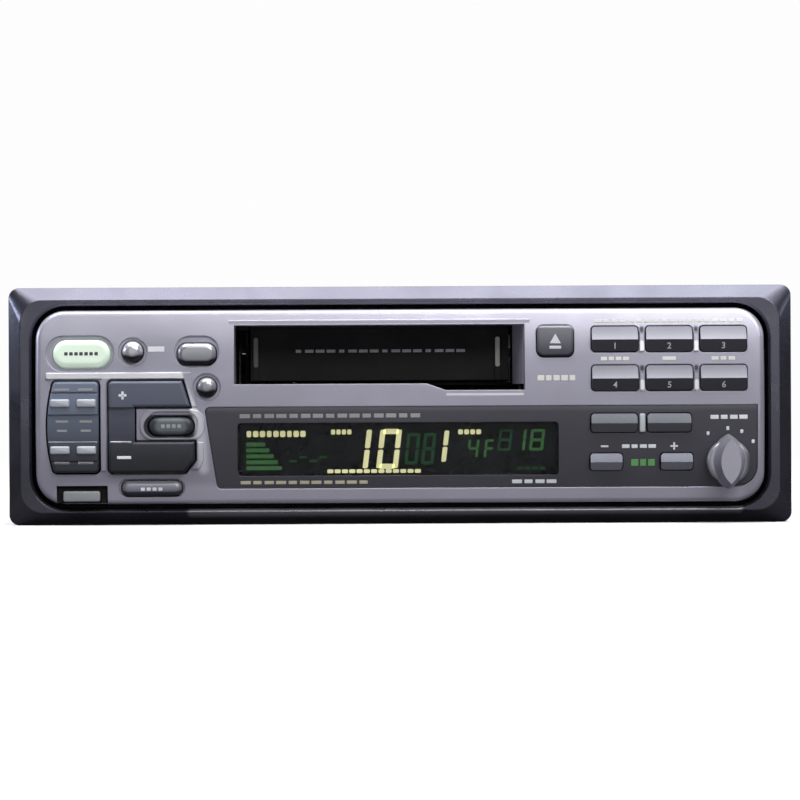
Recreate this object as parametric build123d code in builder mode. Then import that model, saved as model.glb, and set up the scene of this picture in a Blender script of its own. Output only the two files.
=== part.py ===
from build123d import *

import math
import os

# Single-DIN cassette car radio with a detachable front panel.
# Axes: +X to the right as the driver sees it, -Y out of the dashboard, +Z up.
# The origin is below the middle of the whole set, on the plane that it rests on.
# Heights named z are measured from the set's centre line, MID_HEIGHT above that plane.

# ---- Driving dimensions, millimetres ----

RING_WIDTH = 188.0
RING_HEIGHT = 57.0
MID_HEIGHT = RING_HEIGHT / 2
OVERALL_DEPTH = 176.0
KNOB_TIP = -OVERALL_DEPTH / 2
STUD_TIP = OVERALL_DEPTH / 2

CHASSIS_WIDTH = 178.0
CHASSIS_HEIGHT = 50.0
SHEET = 1.0

FACE_Y = KNOB_TIP + 8.0
RING_FRONT = FACE_Y + 3.0
RING_BACK = RING_FRONT + 9.0
TRAY_FRONT = RING_BACK + 1.7
REAR_Y = STUD_TIP - 10.0

RING_SLOPE_WIDTH = 3.0
RING_SLOPE_DEPTH = 2.8
RING_GAP = 1.15
RING_LIP = 0.6
RING_EDGE = 0.25
RING_CORNER = 2.5

FACE_WIDTH = 174.2
FACE_HEIGHT = 46.4
FACE_Z = -0.25
FACE_CORNER = 7.0
FACE_RADIUS = 120.0
FACE_SKIN = 2.5
FACE_WALL = 1.5
FACE_BACK_Y = RING_BACK - 1.2

# Cassette slot, and the cassette that passes through it.
SLOT_LEFT = -39.6
SLOT_RIGHT = 29.8
SLOT_TOP = 19.2
SLOT_FLOOR = 5.1
SLOT_STEP_FLOOR = 3.5
SLOT_STEP_START = 6.4
SLOT_STEP_END = 10.9
TUNNEL_WALL = 1.2
TUNNEL_CEILING = 21.0
CASSETTE_WIDTH = 63.8
CASSETTE_X = (SLOT_LEFT + SLOT_RIGHT) / 2

# Keys: fit in their holes, flange that keeps them in, and travel.
KEY_GAP = 0.25
KEY_FLANGE_FRONT = FACE_Y + 5.0
KEY_BACK = FACE_Y + 5.9
KEY_TRAVEL = 0.8
KEY_MARGIN = 0.6
KEY_RIDGE_DROP = 0.02
MAT_FRONT = KEY_BACK + KEY_TRAVEL + 0.1
BOARD_FRONT = MAT_FRONT + 0.6
BOARD_THICKNESS = 1.2

PRESET_WIDTH = 11.0
PRESET_HEIGHT = 6.0
PRESET_X = 64.3
PRESET_PITCH = 12.95
PRESET_ROWS = (15.5, 6.2)

# Name, x, z, width, height and corner radius of the pill and bar keys.
PILL_KEYS = (
    ("source_key", -76.0, 12.6, 13.6, 6.5, 3.2),
    ("display_key", -48.5, 12.4, 9.2, 5.2, 2.3),
    ("sound_key", -54.6, -4.8, 10.8, 4.4, 2.1),
    ("scan_key", -59.4, -19.6, 14.4, 3.6, 1.7),
)
BAR_KEYS = (
    ("loudness_key", 51.1, -4.5, 11.0, 4.4, 0.8),
    ("noise_reduction_key", 64.2, -4.5, 10.4, 4.4, 0.8),
    ("tone_down_key", 49.2, -13.8, 7.6, 4.0, 0.8),
    ("tone_up_key", 66.0, -13.8, 7.6, 4.0, 0.8),
)
DOME_KEYS = (
    ("off_button", -63.8, 13.0, 2.5),
    ("clock_button", -46.1, 4.5, 2.3),
)
EJECT_X, EJECT_Z, EJECT_WIDTH, EJECT_HEIGHT = 37.1, 15.1, 8.6, 7.4
RELEASE_X, RELEASE_WIDTH, RELEASE_TOP = -76.1, 12.2, -19.0

WINDOW_X, WINDOW_Z, WINDOW_WIDTH, WINDOW_HEIGHT = -0.5, -10.5, 76.4, 12.4
BEZEL_BOTTOM = -19.7
BEZEL_SETBACK = 0.2
BEZEL_SKIN = 1.4
KNOB_X, KNOB_Z = 78.2, -13.8
KNOB_SKIRT = 5.2
KNOB_GRIP_LENGTH = 13.2
KNOB_SHAFT = 2.0

# Cassette deck, under the slot.
DECK_TOP = -7.0
HOLDER_FLOOR = SLOT_FLOOR + 0.5
HOLDER_DROP = 9.5
HOLDER_FRONT = -50.5
HOLDER_BACK = 50.5
REEL_X = CASSETTE_X + CASSETTE_WIDTH / 2 - 34.3
REEL_HALF_PITCH = 21.25
CAPSTAN_X = CASSETTE_X + CASSETTE_WIDTH / 2 - 12.5
CAPSTAN_HALF_PITCH = 33.3
FLYWHEEL_RADIUS = 14.0
MOTOR_X, MOTOR_Y, MOTOR_RADIUS = 60.0, 36.0, 12.0
PULLEY_RADIUS = 4.0
BELT_Z = DECK_TOP - 4.0
PINCH_RADIUS = 5.0
HEAD_STROKE = 5.0

# Rear panel fittings: x and z of each centre.
STUD_RADIUS = 2.5
STUD_X, STUD_Z = -12.0, -12.0
AERIAL_X, AERIAL_Z = -72.0, 8.0
LINE_OUT_X, LINE_OUT_Z = -44.0, 8.0
PLUG_X, PLUG_Z = 8.0, 6.0
HEAT_SINK_X = 62.0
SIDE_HOLE_RADIUS = 2.1
SIDE_HOLE_PITCH = 60.0
SIDE_HOLE_Y = -6.0
SIDE_HOLE_Z = -9.0

os.makedirs("parts", exist_ok=True)


# ---- Planes and outlines used by several pieces ----

def front_at(y):
    """Plane across the set at depth y, seen from the front: local x, y are x, z."""
    return Plane(origin=(0, y, MID_HEIGHT), x_dir=(1, 0, 0), z_dir=(0, -1, 0))


def level_at(z):
    """Level plane at height z from the centre line: local x, y are x, y."""
    return Plane.XY.offset(MID_HEIGHT + z)


def side_at(x):
    """Upright plane along the set at x: local x, y are y, z."""
    return Plane(origin=(x, 0, MID_HEIGHT), x_dir=(0, 1, 0), z_dir=(1, 0, 0))


def face_depth(z, setback=0.0):
    """Depth y of the bowed face, or of a surface set back from it, at height z."""
    return FACE_Y + FACE_RADIUS - math.sqrt((FACE_RADIUS - setback) ** 2 - z ** 2)


def face_band(front, back):
    """Side profile between two bowed surfaces, set back from the face by front and back."""
    reach = 25.5
    with BuildSketch(side_at(0)) as band:
        with BuildLine():
            ThreePointArc(
                (face_depth(-reach, front), -reach), (face_depth(0, front), 0), (face_depth(reach, front), reach)
            )
            Line((face_depth(reach, front), reach), (face_depth(reach, back), reach))
            ThreePointArc(
                (face_depth(reach, back), reach), (face_depth(0, back), 0), (face_depth(-reach, back), -reach)
            )
            Line((face_depth(-reach, back), -reach), (face_depth(-reach, front), -reach))
        make_face()
    return band.sketch


def slot_outline(grow=0.0, top=SLOT_TOP):
    """Outline of the cassette slot: its floor steps down on the tape side."""
    with BuildSketch() as outline:
        with BuildLine():
            Polyline(
                (SLOT_LEFT - grow, top + grow),
                (SLOT_RIGHT + grow, top + grow),
                (SLOT_RIGHT + grow, SLOT_STEP_FLOOR - grow),
                (SLOT_STEP_END - grow / 2, SLOT_STEP_FLOOR - grow),
                (SLOT_STEP_START - grow / 2, SLOT_FLOOR - grow),
                (SLOT_LEFT - grow, SLOT_FLOOR - grow),
                close=True,
            )
        make_face()
    return outline.sketch


def seek_outline(grow=0.0):
    """Left rocker: straight on the right, bulging on the left."""
    left, right, top, bottom = -82.6 - grow, -71.9 + grow, 6.0 + grow, -15.8 - grow
    with BuildSketch() as outline:
        with BuildLine():
            Polyline((left, bottom), (right, bottom), (right, top), (left, top))
            ThreePointArc((left, top), (-84.2 - grow, (top + bottom) / 2), (left, bottom))
        make_face()
        fillet(outline.vertices(), 1.0 + grow)
    return outline.sketch


def volume_outline(grow=0.0):
    """Right rocker: a C whose two arms run above and below the sound key."""
    left, top, bottom = -69.5 - grow, 6.0 + grow, -15.9 - grow
    arm_low, arm_high = -8.5 - grow, -0.2 + grow
    inner = -63.3 + grow
    with BuildSketch() as outline:
        with BuildLine():
            Polyline(
                (left, top),
                (-52.0 + grow, top),
                (-50.0 + grow, arm_high - 2 * grow),
                (inner, arm_high - 2 * grow),
                (inner, arm_low + 2 * grow),
                (-49.0 + grow, arm_low + 2 * grow),
                (-49.0 + grow, -13.0),
                (-51.5 + grow, bottom),
                (left, bottom),
                close=True,
            )
        make_face()
        fillet(outline.vertices().group_by(Axis.X)[0], 1.0 + grow)
    return outline.sketch


def bezel_outline(grow=0.0):
    """Dark lower panel: slanted left end, large round corner at the lower right."""
    with BuildSketch() as outline:
        with BuildLine():
            Polyline(
                (-46.6 - grow, -0.4 + grow),
                (85.2 + grow, -0.4 + grow),
                (85.2 + grow, BEZEL_BOTTOM - grow),
                (-43.6 - grow, BEZEL_BOTTOM - grow),
                close=True,
            )
        make_face()
        fillet(outline.vertices().sort_by(Axis.X)[-2:].sort_by(Axis.Y)[0], 5.0)
        fillet(outline.vertices().sort_by(Axis.X)[:2], 1.2)
    return outline.sketch


PRESETS = [
    (f"preset_key_{3 * row + column + 1}", PRESET_X + (column - 1) * PRESET_PITCH, PRESET_ROWS[row])
    for row in range(2)
    for column in range(3)
]


# ---- Trim ring and nose ----

# Surround: a flat rim beside the face, sloping back to the outer edge.
with BuildPart() as trim_ring:
    with BuildSketch(front_at(RING_BACK)):
        RectangleRounded(RING_WIDTH, RING_HEIGHT, RING_CORNER)
    extrude(amount=RING_BACK - RING_FRONT - RING_SLOPE_DEPTH)
    with BuildSketch(front_at(RING_FRONT + RING_SLOPE_DEPTH)):
        RectangleRounded(RING_WIDTH, RING_HEIGHT, RING_CORNER)
    with BuildSketch(front_at(RING_FRONT)):
        RectangleRounded(RING_WIDTH - 2 * RING_SLOPE_WIDTH, RING_HEIGHT - 2 * RING_SLOPE_WIDTH, 5.5)
    loft()
    with BuildSketch(front_at(RING_BACK)):
        with Locations((0, FACE_Z)):
            RectangleRounded(FACE_WIDTH + 2 * RING_GAP, FACE_HEIGHT + 2 * RING_GAP, FACE_CORNER + RING_GAP)
    extrude(amount=RING_BACK - RING_FRONT, mode=Mode.SUBTRACT)
    chamfer(trim_ring.faces().sort_by(Axis.Y)[0].inner_wires()[0].edges(), RING_LIP)
    fillet(trim_ring.faces().sort_by(Axis.Y)[0].outer_wire().edges(), RING_EDGE)
    # Four snap tongues reach back over the top and bottom of the chassis.
    with BuildSketch(front_at(RING_BACK)):
        with GridLocations(120.0, CHASSIS_HEIGHT + 1.8, 2, 2):
            Rectangle(14.0, 1.2)
    extrude(amount=-11.0)
trim_ring.part.label = "trim_ring"
export_step(trim_ring.part, "parts/trim_ring.step")

# Moulded nose of the chassis: the face parks against it, the cassette passes through it.
FLAP_Y = RING_BACK + 2.2
FLAP_AXIS_Z = 19.5
FLAP_LEFT, FLAP_RIGHT = -36.2, 26.4
FLAP_THICKNESS = 1.2
FLAP_PIN = 0.8
NOSE_PLATE = 3.0
DOCK_X, DOCK_Z, DOCK_WIDTH, DOCK_HEIGHT = 58.0, -16.6, 38.0, 10.8
with BuildPart() as nose_panel:
    with BuildSketch(front_at(RING_BACK)):
        RectangleRounded(CHASSIS_WIDTH, CHASSIS_HEIGHT, 1.0)
    extrude(amount=RING_BACK - TRAY_FRONT + 0.2)
    with BuildSketch(front_at(RING_BACK)):
        Rectangle(CHASSIS_WIDTH - 2 * SHEET - 0.6, CHASSIS_HEIGHT - 2 * SHEET - 0.6)
    extrude(amount=-9.5)
    with BuildSketch(front_at(RING_BACK + NOSE_PLATE)):
        Rectangle(CHASSIS_WIDTH - 2 * SHEET - 3.6, CHASSIS_HEIGHT - 2 * SHEET - 3.6)
    extrude(amount=-9.5, mode=Mode.SUBTRACT)
    with BuildSketch(front_at(RING_BACK + NOSE_PLATE)):
        add(slot_outline(TUNNEL_WALL, TUNNEL_CEILING))
    extrude(amount=-10.0)
    with BuildSketch(front_at(RING_BACK)):
        add(slot_outline(0.0, TUNNEL_CEILING))
    extrude(amount=-13.0, mode=Mode.SUBTRACT)
    with BuildSketch(front_at(RING_BACK)):
        with Locations((DOCK_X, DOCK_Z)):
            Rectangle(DOCK_WIDTH + 0.3, DOCK_HEIGHT + 0.3)
    extrude(amount=-NOSE_PLATE, mode=Mode.SUBTRACT)
    # Ears that carry the flap's two pins.
    for ear_x in (FLAP_LEFT - 1.8, FLAP_RIGHT + 1.8):
        with BuildSketch(side_at(ear_x)):
            with Locations((FLAP_Y, FLAP_AXIS_Z + 0.3)):
                Rectangle(3.6, 3.0)
            with Locations((FLAP_Y, FLAP_AXIS_Z)):
                Circle(FLAP_PIN + 0.06, mode=Mode.SUBTRACT)
        extrude(amount=1.3, both=True)
nose_panel.part.label = "nose_panel"
export_step(nose_panel.part, "parts/nose_panel.step")

# Spring-loaded dust flap of the slot. It swings in and up when a cassette is pushed in.
with BuildPart() as cassette_flap:
    flap_foot = SLOT_FLOOR + 0.5
    with BuildSketch(side_at(FLAP_LEFT)):
        with BuildLine():
            Polyline(
                (FLAP_Y - FLAP_THICKNESS / 2, FLAP_AXIS_Z),
                (FLAP_Y - FLAP_THICKNESS / 2, flap_foot + 0.4),
                (FLAP_Y, flap_foot),
                (FLAP_Y + FLAP_THICKNESS / 2, flap_foot),
                (FLAP_Y + FLAP_THICKNESS / 2, FLAP_AXIS_Z),
                close=True,
            )
        make_face()
        with Locations((FLAP_Y, FLAP_AXIS_Z)):
            Circle(FLAP_THICKNESS)
    extrude(amount=FLAP_RIGHT - FLAP_LEFT)
    # Raised beads at both ends of the flap.
    with BuildSketch(front_at(FLAP_Y)):
        for bead_x in (FLAP_LEFT + 1.3, FLAP_RIGHT - 2.7):
            with Locations((bead_x, (FLAP_AXIS_Z + flap_foot) / 2 - 1.2)):
                RectangleRounded(1.4, FLAP_AXIS_Z - flap_foot - 3.2, 0.5)
    extrude(amount=FLAP_THICKNESS / 2 + 0.5)
    with BuildSketch(side_at(FLAP_LEFT - 1.8)):
        with Locations((FLAP_Y, FLAP_AXIS_Z)):
            Circle(FLAP_PIN)
    extrude(amount=FLAP_RIGHT - FLAP_LEFT + 3.6)
cassette_flap.part.label = "cassette_flap"
export_step(cassette_flap.part, "parts/cassette_flap.step")

# ---- Detachable face: the moulded shell ----

# The hollow behind the bowed skin.
with BuildPart() as face_hollow:
    with BuildSketch(front_at(FACE_BACK_Y)):
        with Locations((0, FACE_Z)):
            RectangleRounded(FACE_WIDTH - 2 * FACE_WALL, FACE_HEIGHT - 2 * FACE_WALL, FACE_CORNER - FACE_WALL)
    extrude(amount=FACE_BACK_Y - FACE_Y)
    extrude(face_band(FACE_SKIN, 20.0), amount=RING_WIDTH / 2, both=True, mode=Mode.INTERSECT)

# Seat of the dark lower panel.
with BuildPart() as bezel_seat:
    with BuildSketch(front_at(FACE_BACK_Y)):
        add(bezel_outline(0.15))
    extrude(amount=FACE_BACK_Y - FACE_Y + 2.0)
    extrude(face_band(-2.0, BEZEL_SETBACK + BEZEL_SKIN), amount=RING_WIDTH / 2, both=True, mode=Mode.INTERSECT)

# Shallow recesses around the source key, the round buttons and the release key.
with BuildPart() as shallow_recesses:
    with BuildSketch(front_at(FACE_BACK_Y)):
        with Locations((-76.4, 12.7)):
            RectangleRounded(16.4, 8.6, 4.2)
        for _, dome_x, dome_z, dome_radius in DOME_KEYS:
            with Locations((dome_x, dome_z)):
                Circle(dome_radius + 1.0)
        with Locations((-48.5, 13.0)):
            RectangleRounded(10.6, 7.6, 3.6)
        with Locations((-59.4, -19.5)):
            RectangleRounded(15.8, 4.4, 2.1)
    extrude(amount=FACE_BACK_Y - FACE_Y + 2.0)
    extrude(face_band(-2.0, 0.7), amount=RING_WIDTH / 2, both=True, mode=Mode.INTERSECT)

# Raised rims: over and beside the rockers, round the sound key and between the presets.
with BuildPart() as raised_rims:
    with BuildSketch(front_at(FACE_BACK_Y)):
        add(volume_outline(2.0))
        add(volume_outline(0.6), mode=Mode.SUBTRACT)
        with Locations((-58.0, -4.4)):
            Rectangle(30.0, 8.6, mode=Mode.SUBTRACT)
        with Locations((-69.0, -8.0)):
            Rectangle(8.0, 26.0, mode=Mode.SUBTRACT)
        with Locations((-60.0, -17.0)):
            Rectangle(30.0, 4.0, mode=Mode.SUBTRACT)
        with Locations((-76.2, 7.3)):
            Rectangle(16.6, 1.4)
        with Locations((-70.75, -4.9)):
            Rectangle(1.3, 21.0)
        with Locations((-54.3, -4.4)):
            RectangleRounded(15.4, 7.2, 3.2)
            RectangleRounded(12.2, 6.2, 2.8, mode=Mode.SUBTRACT)
        for rib_x in (PRESET_X - PRESET_PITCH / 2, PRESET_X + PRESET_PITCH / 2):
            for rib_z in PRESET_ROWS:
                with Locations((rib_x, rib_z - 0.6)):
                    Rectangle(1.1, 4.6)
    extrude(amount=FACE_BACK_Y - FACE_Y + 2.0)
    extrude(face_band(-0.7, 1.0), amount=RING_WIDTH / 2, both=True, mode=Mode.INTERSECT)

with BuildPart() as face_shell:
    with BuildSketch(front_at(FACE_BACK_Y)):
        with Locations((0, FACE_Z)):
            RectangleRounded(FACE_WIDTH, FACE_HEIGHT, FACE_CORNER)
    extrude(amount=FACE_BACK_Y - FACE_Y + 1.0)
    extrude(face_band(0.0, 25.0), amount=RING_WIDTH / 2, both=True, mode=Mode.INTERSECT)
    fillet(face_shell.faces().sort_by(Axis.Y)[0].edges(), 1.4)
    add(face_hollow.part, mode=Mode.SUBTRACT)
    add(raised_rims.part)
    add(shallow_recesses.part, mode=Mode.SUBTRACT)
    add(bezel_seat.part, mode=Mode.SUBTRACT)
    with BuildSketch(front_at(FACE_BACK_Y)):
        add(slot_outline(TUNNEL_WALL))
    extrude(amount=FACE_BACK_Y - FACE_Y - 1.6)
    with BuildSketch(front_at(FACE_BACK_Y)):
        add(slot_outline())
    extrude(amount=FACE_BACK_Y - FACE_Y + 2.0, mode=Mode.SUBTRACT)
    # Key holes, cut from in front of the flanges through the skin.
    with BuildSketch(front_at(KEY_FLANGE_FRONT)):
        for _, key_x, key_z, key_width, key_height, key_corner in PILL_KEYS + BAR_KEYS:
            with Locations((key_x, key_z)):
                RectangleRounded(key_width + 2 * KEY_GAP, key_height + 2 * KEY_GAP, key_corner + KEY_GAP)
        for _, key_x, key_z in PRESETS:
            with Locations((key_x, key_z)):
                RectangleRounded(PRESET_WIDTH + 2 * KEY_GAP, PRESET_HEIGHT + 2 * KEY_GAP, 0.8 + KEY_GAP)
        for _, dome_x, dome_z, dome_radius in DOME_KEYS:
            with Locations((dome_x, dome_z)):
                Circle(dome_radius + KEY_GAP)
        with Locations((EJECT_X, EJECT_Z)):
            RectangleRounded(EJECT_WIDTH + 2 * KEY_GAP, EJECT_HEIGHT + 2 * KEY_GAP, 1.5 + KEY_GAP)
        with Locations((WINDOW_X, WINDOW_Z)):
            RectangleRounded(WINDOW_WIDTH + 0.3, WINDOW_HEIGHT + 0.3, 0.9)
        with Locations((KNOB_X, KNOB_Z)):
            Circle(KNOB_SHAFT + 0.6)
        add(seek_outline(0.4))
        add(volume_outline(0.4))
    extrude(amount=KEY_FLANGE_FRONT - FACE_Y + 2.0, mode=Mode.SUBTRACT)
    # The release key's notch runs out through the bottom wall.
    with BuildSketch(front_at(KEY_BACK + 1.5)):
        with Locations((RELEASE_X, RELEASE_TOP - 3.0)):
            Rectangle(RELEASE_WIDTH, 6.0)
    extrude(amount=KEY_BACK - FACE_Y + 4.0, mode=Mode.SUBTRACT)
face_shell.part.label = "face_shell"
export_step(face_shell.part, "parts/face_shell.step")

# ---- Dark lower panel and display ----

with BuildPart() as display_bezel:
    with BuildSketch(front_at(FACE_BACK_Y)):
        add(bezel_outline())
        for _, key_x, key_z, key_width, key_height, key_corner in BAR_KEYS:
            with Locations((key_x, key_z)):
                RectangleRounded(
                    key_width + 2 * KEY_GAP, key_height + 2 * KEY_GAP, key_corner + KEY_GAP, mode=Mode.SUBTRACT
                )
        with Locations((WINDOW_X, WINDOW_Z)):
            RectangleRounded(WINDOW_WIDTH + 0.3, WINDOW_HEIGHT + 0.3, 0.9, mode=Mode.SUBTRACT)
        with Locations((KNOB_X, KNOB_Z)):
            Circle(KNOB_SHAFT + 0.6, mode=Mode.SUBTRACT)
    extrude(amount=FACE_BACK_Y - FACE_Y + 2.0)
    extrude(
        face_band(BEZEL_SETBACK, BEZEL_SETBACK + BEZEL_SKIN), amount=RING_WIDTH / 2, both=True, mode=Mode.INTERSECT
    )
display_bezel.part.label = "display_bezel"
export_step(display_bezel.part, "parts/display_bezel.step")

# Smoked lens: fills the window from behind and has a glued flange inside the skin.
with BuildPart() as lens_flange:
    with BuildSketch(front_at(FACE_BACK_Y)):
        with Locations((WINDOW_X, WINDOW_Z)):
            RectangleRounded(WINDOW_WIDTH + 2.6, WINDOW_HEIGHT + 2.2, 1.2)
    extrude(amount=FACE_BACK_Y - FACE_Y + 2.0)
    extrude(face_band(FACE_SKIN + 0.05, FACE_SKIN + 0.55), amount=RING_WIDTH / 2, both=True, mode=Mode.INTERSECT)
with BuildPart() as display_window:
    with BuildSketch(front_at(FACE_BACK_Y)):
        with Locations((WINDOW_X, WINDOW_Z)):
            RectangleRounded(WINDOW_WIDTH, WINDOW_HEIGHT, 0.75)
    extrude(amount=FACE_BACK_Y - FACE_Y + 2.0)
    extrude(face_band(0.5, FACE_SKIN + 0.3), amount=RING_WIDTH / 2, both=True, mode=Mode.INTERSECT)
    add(lens_flange.part)
display_window.part.label = "display_window"
export_step(display_window.part, "parts/display_window.step")

DISPLAY_FRONT = FACE_Y + 4.8
with BuildPart() as display_module:
    with BuildSketch(front_at(BOARD_FRONT)):
        with Locations((WINDOW_X, WINDOW_Z)):
            Rectangle(WINDOW_WIDTH + 2.0, WINDOW_HEIGHT + 2.4)
    extrude(amount=BOARD_FRONT - DISPLAY_FRONT)
    with BuildSketch(front_at(DISPLAY_FRONT)):
        with Locations((WINDOW_X, WINDOW_Z)):
            Rectangle(WINDOW_WIDTH + 0.4, WINDOW_HEIGHT + 0.4)
    extrude(amount=-0.3, mode=Mode.SUBTRACT)
display_module.part.label = "display_module"
export_step(display_module.part, "parts/display_module.step")

# ---- Boards and back cover inside the face ----

SLOT_CLEARANCE = TUNNEL_WALL + 0.2
with BuildPart() as key_mat:
    with BuildSketch(front_at(BOARD_FRONT)):
        with Locations((0, FACE_Z)):
            RectangleRounded(168.0, 40.4, 4.0)
        add(slot_outline(SLOT_CLEARANCE + 0.3), mode=Mode.SUBTRACT)
        with Locations((WINDOW_X, WINDOW_Z)):
            Rectangle(WINDOW_WIDTH + 3.0, WINDOW_HEIGHT + 3.4, mode=Mode.SUBTRACT)
        with Locations((KNOB_X, KNOB_Z)):
            Rectangle(12.0, 12.0, mode=Mode.SUBTRACT)
        with Locations((RELEASE_X, RELEASE_TOP)):
            Rectangle(14.0, 8.0, mode=Mode.SUBTRACT)
    extrude(amount=BOARD_FRONT - MAT_FRONT)
key_mat.part.label = "key_mat"
export_step(key_mat.part, "parts/key_mat.step")

with BuildPart() as face_board:
    with BuildSketch(front_at(BOARD_FRONT)):
        with Locations((0, FACE_Z)):
            RectangleRounded(170.0, 42.2, 4.5)
        add(slot_outline(SLOT_CLEARANCE), mode=Mode.SUBTRACT)
        with Locations((RELEASE_X, RELEASE_TOP)):
            Rectangle(14.0, 8.0, mode=Mode.SUBTRACT)
    extrude(amount=-BOARD_THICKNESS)
face_board.part.label = "face_board"
export_step(face_board.part, "parts/face_board.step")

PLUG_WIDTH, PLUG_HEIGHT = 32.0, 5.4
with BuildPart() as face_connector:
    with BuildSketch(front_at(BOARD_FRONT + BOARD_THICKNESS)):
        with Locations((DOCK_X, DOCK_Z)):
            RectangleRounded(PLUG_WIDTH, PLUG_HEIGHT, 0.8)
    extrude(amount=-(RING_BACK + 1.8 - BOARD_FRONT - BOARD_THICKNESS))
    with BuildSketch(front_at(RING_BACK + 1.8)):
        with Locations((DOCK_X, DOCK_Z)):
            with GridLocations(2.4, 2.2, 12, 2):
                Rectangle(1.2, 0.9)
    extrude(amount=1.2, mode=Mode.SUBTRACT)
face_connector.part.label = "face_connector"
export_step(face_connector.part, "parts/face_connector.step")

FACE_COVER_THICKNESS = 1.2
with BuildPart() as face_back:
    with BuildSketch(front_at(FACE_BACK_Y)):
        with Locations((0, FACE_Z)):
            RectangleRounded(
                FACE_WIDTH - 2 * FACE_WALL - 0.2, FACE_HEIGHT - 2 * FACE_WALL - 0.2, FACE_CORNER - FACE_WALL - 0.1
            )
        add(slot_outline(SLOT_CLEARANCE), mode=Mode.SUBTRACT)
        with Locations((DOCK_X, DOCK_Z)):
            RectangleRounded(PLUG_WIDTH + 0.5, PLUG_HEIGHT + 0.5, 1.0, mode=Mode.SUBTRACT)
        with Locations((RELEASE_X, RELEASE_TOP - 2.0)):
            Rectangle(13.0, 6.0, mode=Mode.SUBTRACT)
    extrude(amount=FACE_COVER_THICKNESS)
    with BuildSketch(front_at(FACE_BACK_Y)):
        with Locations((-30.0, -12.0), (20.0, -12.0)):
            RectangleRounded(40.0, 9.0, 1.5)
    extrude(amount=0.5, mode=Mode.SUBTRACT)
face_back.part.label = "face_back"
export_step(face_back.part, "parts/face_back.step")

with BuildPart() as knob_switch:
    with BuildSketch(front_at(BOARD_FRONT)):
        with Locations((KNOB_X, KNOB_Z)):
            Rectangle(11.0, 11.0)
    extrude(amount=2.4)
    with BuildSketch(front_at(BOARD_FRONT - 0.3)):
        with Locations((KNOB_X, KNOB_Z)):
            Circle(KNOB_SHAFT + 0.05)
    extrude(amount=3.0, mode=Mode.SUBTRACT)
knob_switch.part.label = "knob_switch"
export_step(knob_switch.part, "parts/knob_switch.step")

# Latch bolt's socket in the nose: the dock that the face plugs into.
with BuildPart() as dock_connector:
    with BuildSketch(front_at(RING_BACK)):
        with Locations((DOCK_X, DOCK_Z)):
            RectangleRounded(DOCK_WIDTH, DOCK_HEIGHT, 0.8)
    extrude(amount=-9.0)
    with BuildSketch(front_at(RING_BACK)):
        with Locations((DOCK_X, DOCK_Z)):
            RectangleRounded(PLUG_WIDTH + 0.8, PLUG_HEIGHT + 0.8, 1.0)
    extrude(amount=-2.6, mode=Mode.SUBTRACT)
    with BuildSketch(front_at(RING_BACK + 2.6)):
        with Locations((DOCK_X, DOCK_Z)):
            with GridLocations(2.4, 2.2, 12, 2):
                Rectangle(0.8, 0.5)
    extrude(amount=0.5)
dock_connector.part.label = "dock_connector"
export_step(dock_connector.part, "parts/dock_connector.step")

# ---- Keys ----

def pill_key(x, z, width, height, corner, crown, margin):
    """Flat-topped key with rounded shoulders and a retaining flange."""
    top = face_depth(z) - crown
    with BuildPart() as key:
        with BuildSketch(front_at(KEY_BACK)):
            with Locations((x, z)):
                RectangleRounded(width, height, corner)
        extrude(amount=KEY_BACK - top)
        fillet(key.faces().sort_by(Axis.Y)[0].edges(), min(1.3, 0.45 * height))
        with BuildSketch(front_at(KEY_BACK)):
            with Locations((x, z)):
                Rectangle(width + 2 * KEY_MARGIN, height + 2 * margin)
        extrude(amount=KEY_BACK - KEY_FLANGE_FRONT)
    return key.part


def bar_key(x, z, width, height, corner, crown):
    """Key with a horizontal ridge: the upper slope catches the light, the lower one is in shade."""
    half = height / 2
    ridge_z = z - KEY_RIDGE_DROP * height
    with BuildSketch(side_at(x)) as profile:
        with BuildLine():
            Polyline(
                (KEY_BACK, z + half),
                (face_depth(z + half) - 0.3, z + half),
                (face_depth(z) - crown, ridge_z),
                (face_depth(z - half) - 0.15, z - half),
                (KEY_BACK, z - half),
                close=True,
            )
        make_face()
        fillet(profile.vertices().sort_by(Axis.Y)[0], 0.5)
    with BuildPart() as key:
        with BuildSketch(front_at(KEY_BACK)):
            with Locations((x, z)):
                RectangleRounded(width, height, corner)
        extrude(amount=KEY_BACK - FACE_Y + crown + 1.0)
        extrude(profile.sketch, amount=width, both=True, mode=Mode.INTERSECT)
        with BuildSketch(front_at(KEY_BACK)):
            with Locations((x, z)):
                Rectangle(width + 2 * KEY_MARGIN, height + 2 * KEY_MARGIN)
        extrude(amount=KEY_BACK - KEY_FLANGE_FRONT)
    return key.part


def dome_key(x, z, radius):
    """Round button with a domed cap."""
    with BuildPart() as key:
        with BuildSketch(front_at(KEY_BACK)):
            with Locations((x, z)):
                Circle(radius)
        extrude(amount=KEY_BACK - face_depth(z) + 1.9)
        fillet(key.faces().sort_by(Axis.Y)[0].edges(), 0.75 * radius)
        with BuildSketch(front_at(KEY_BACK)):
            with Locations((x, z)):
                Circle(radius + KEY_MARGIN)
        extrude(amount=KEY_BACK - KEY_FLANGE_FRONT)
    return key.part


for key_name, key_x, key_z, key_width, key_height, key_corner in PILL_KEYS:
    flange_margin = 0.0 if key_name == "scan_key" else 0.5
    pill = pill_key(key_x, key_z, key_width, key_height, key_corner, 1.1, flange_margin)
    pill.label = key_name
    export_step(pill, f"parts/{key_name}.step")

for key_name, key_x, key_z, key_width, key_height, key_corner in BAR_KEYS:
    bar = bar_key(key_x, key_z, key_width, key_height, key_corner, 1.5)
    bar.label = key_name
    export_step(bar, f"parts/{key_name}.step")

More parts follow.
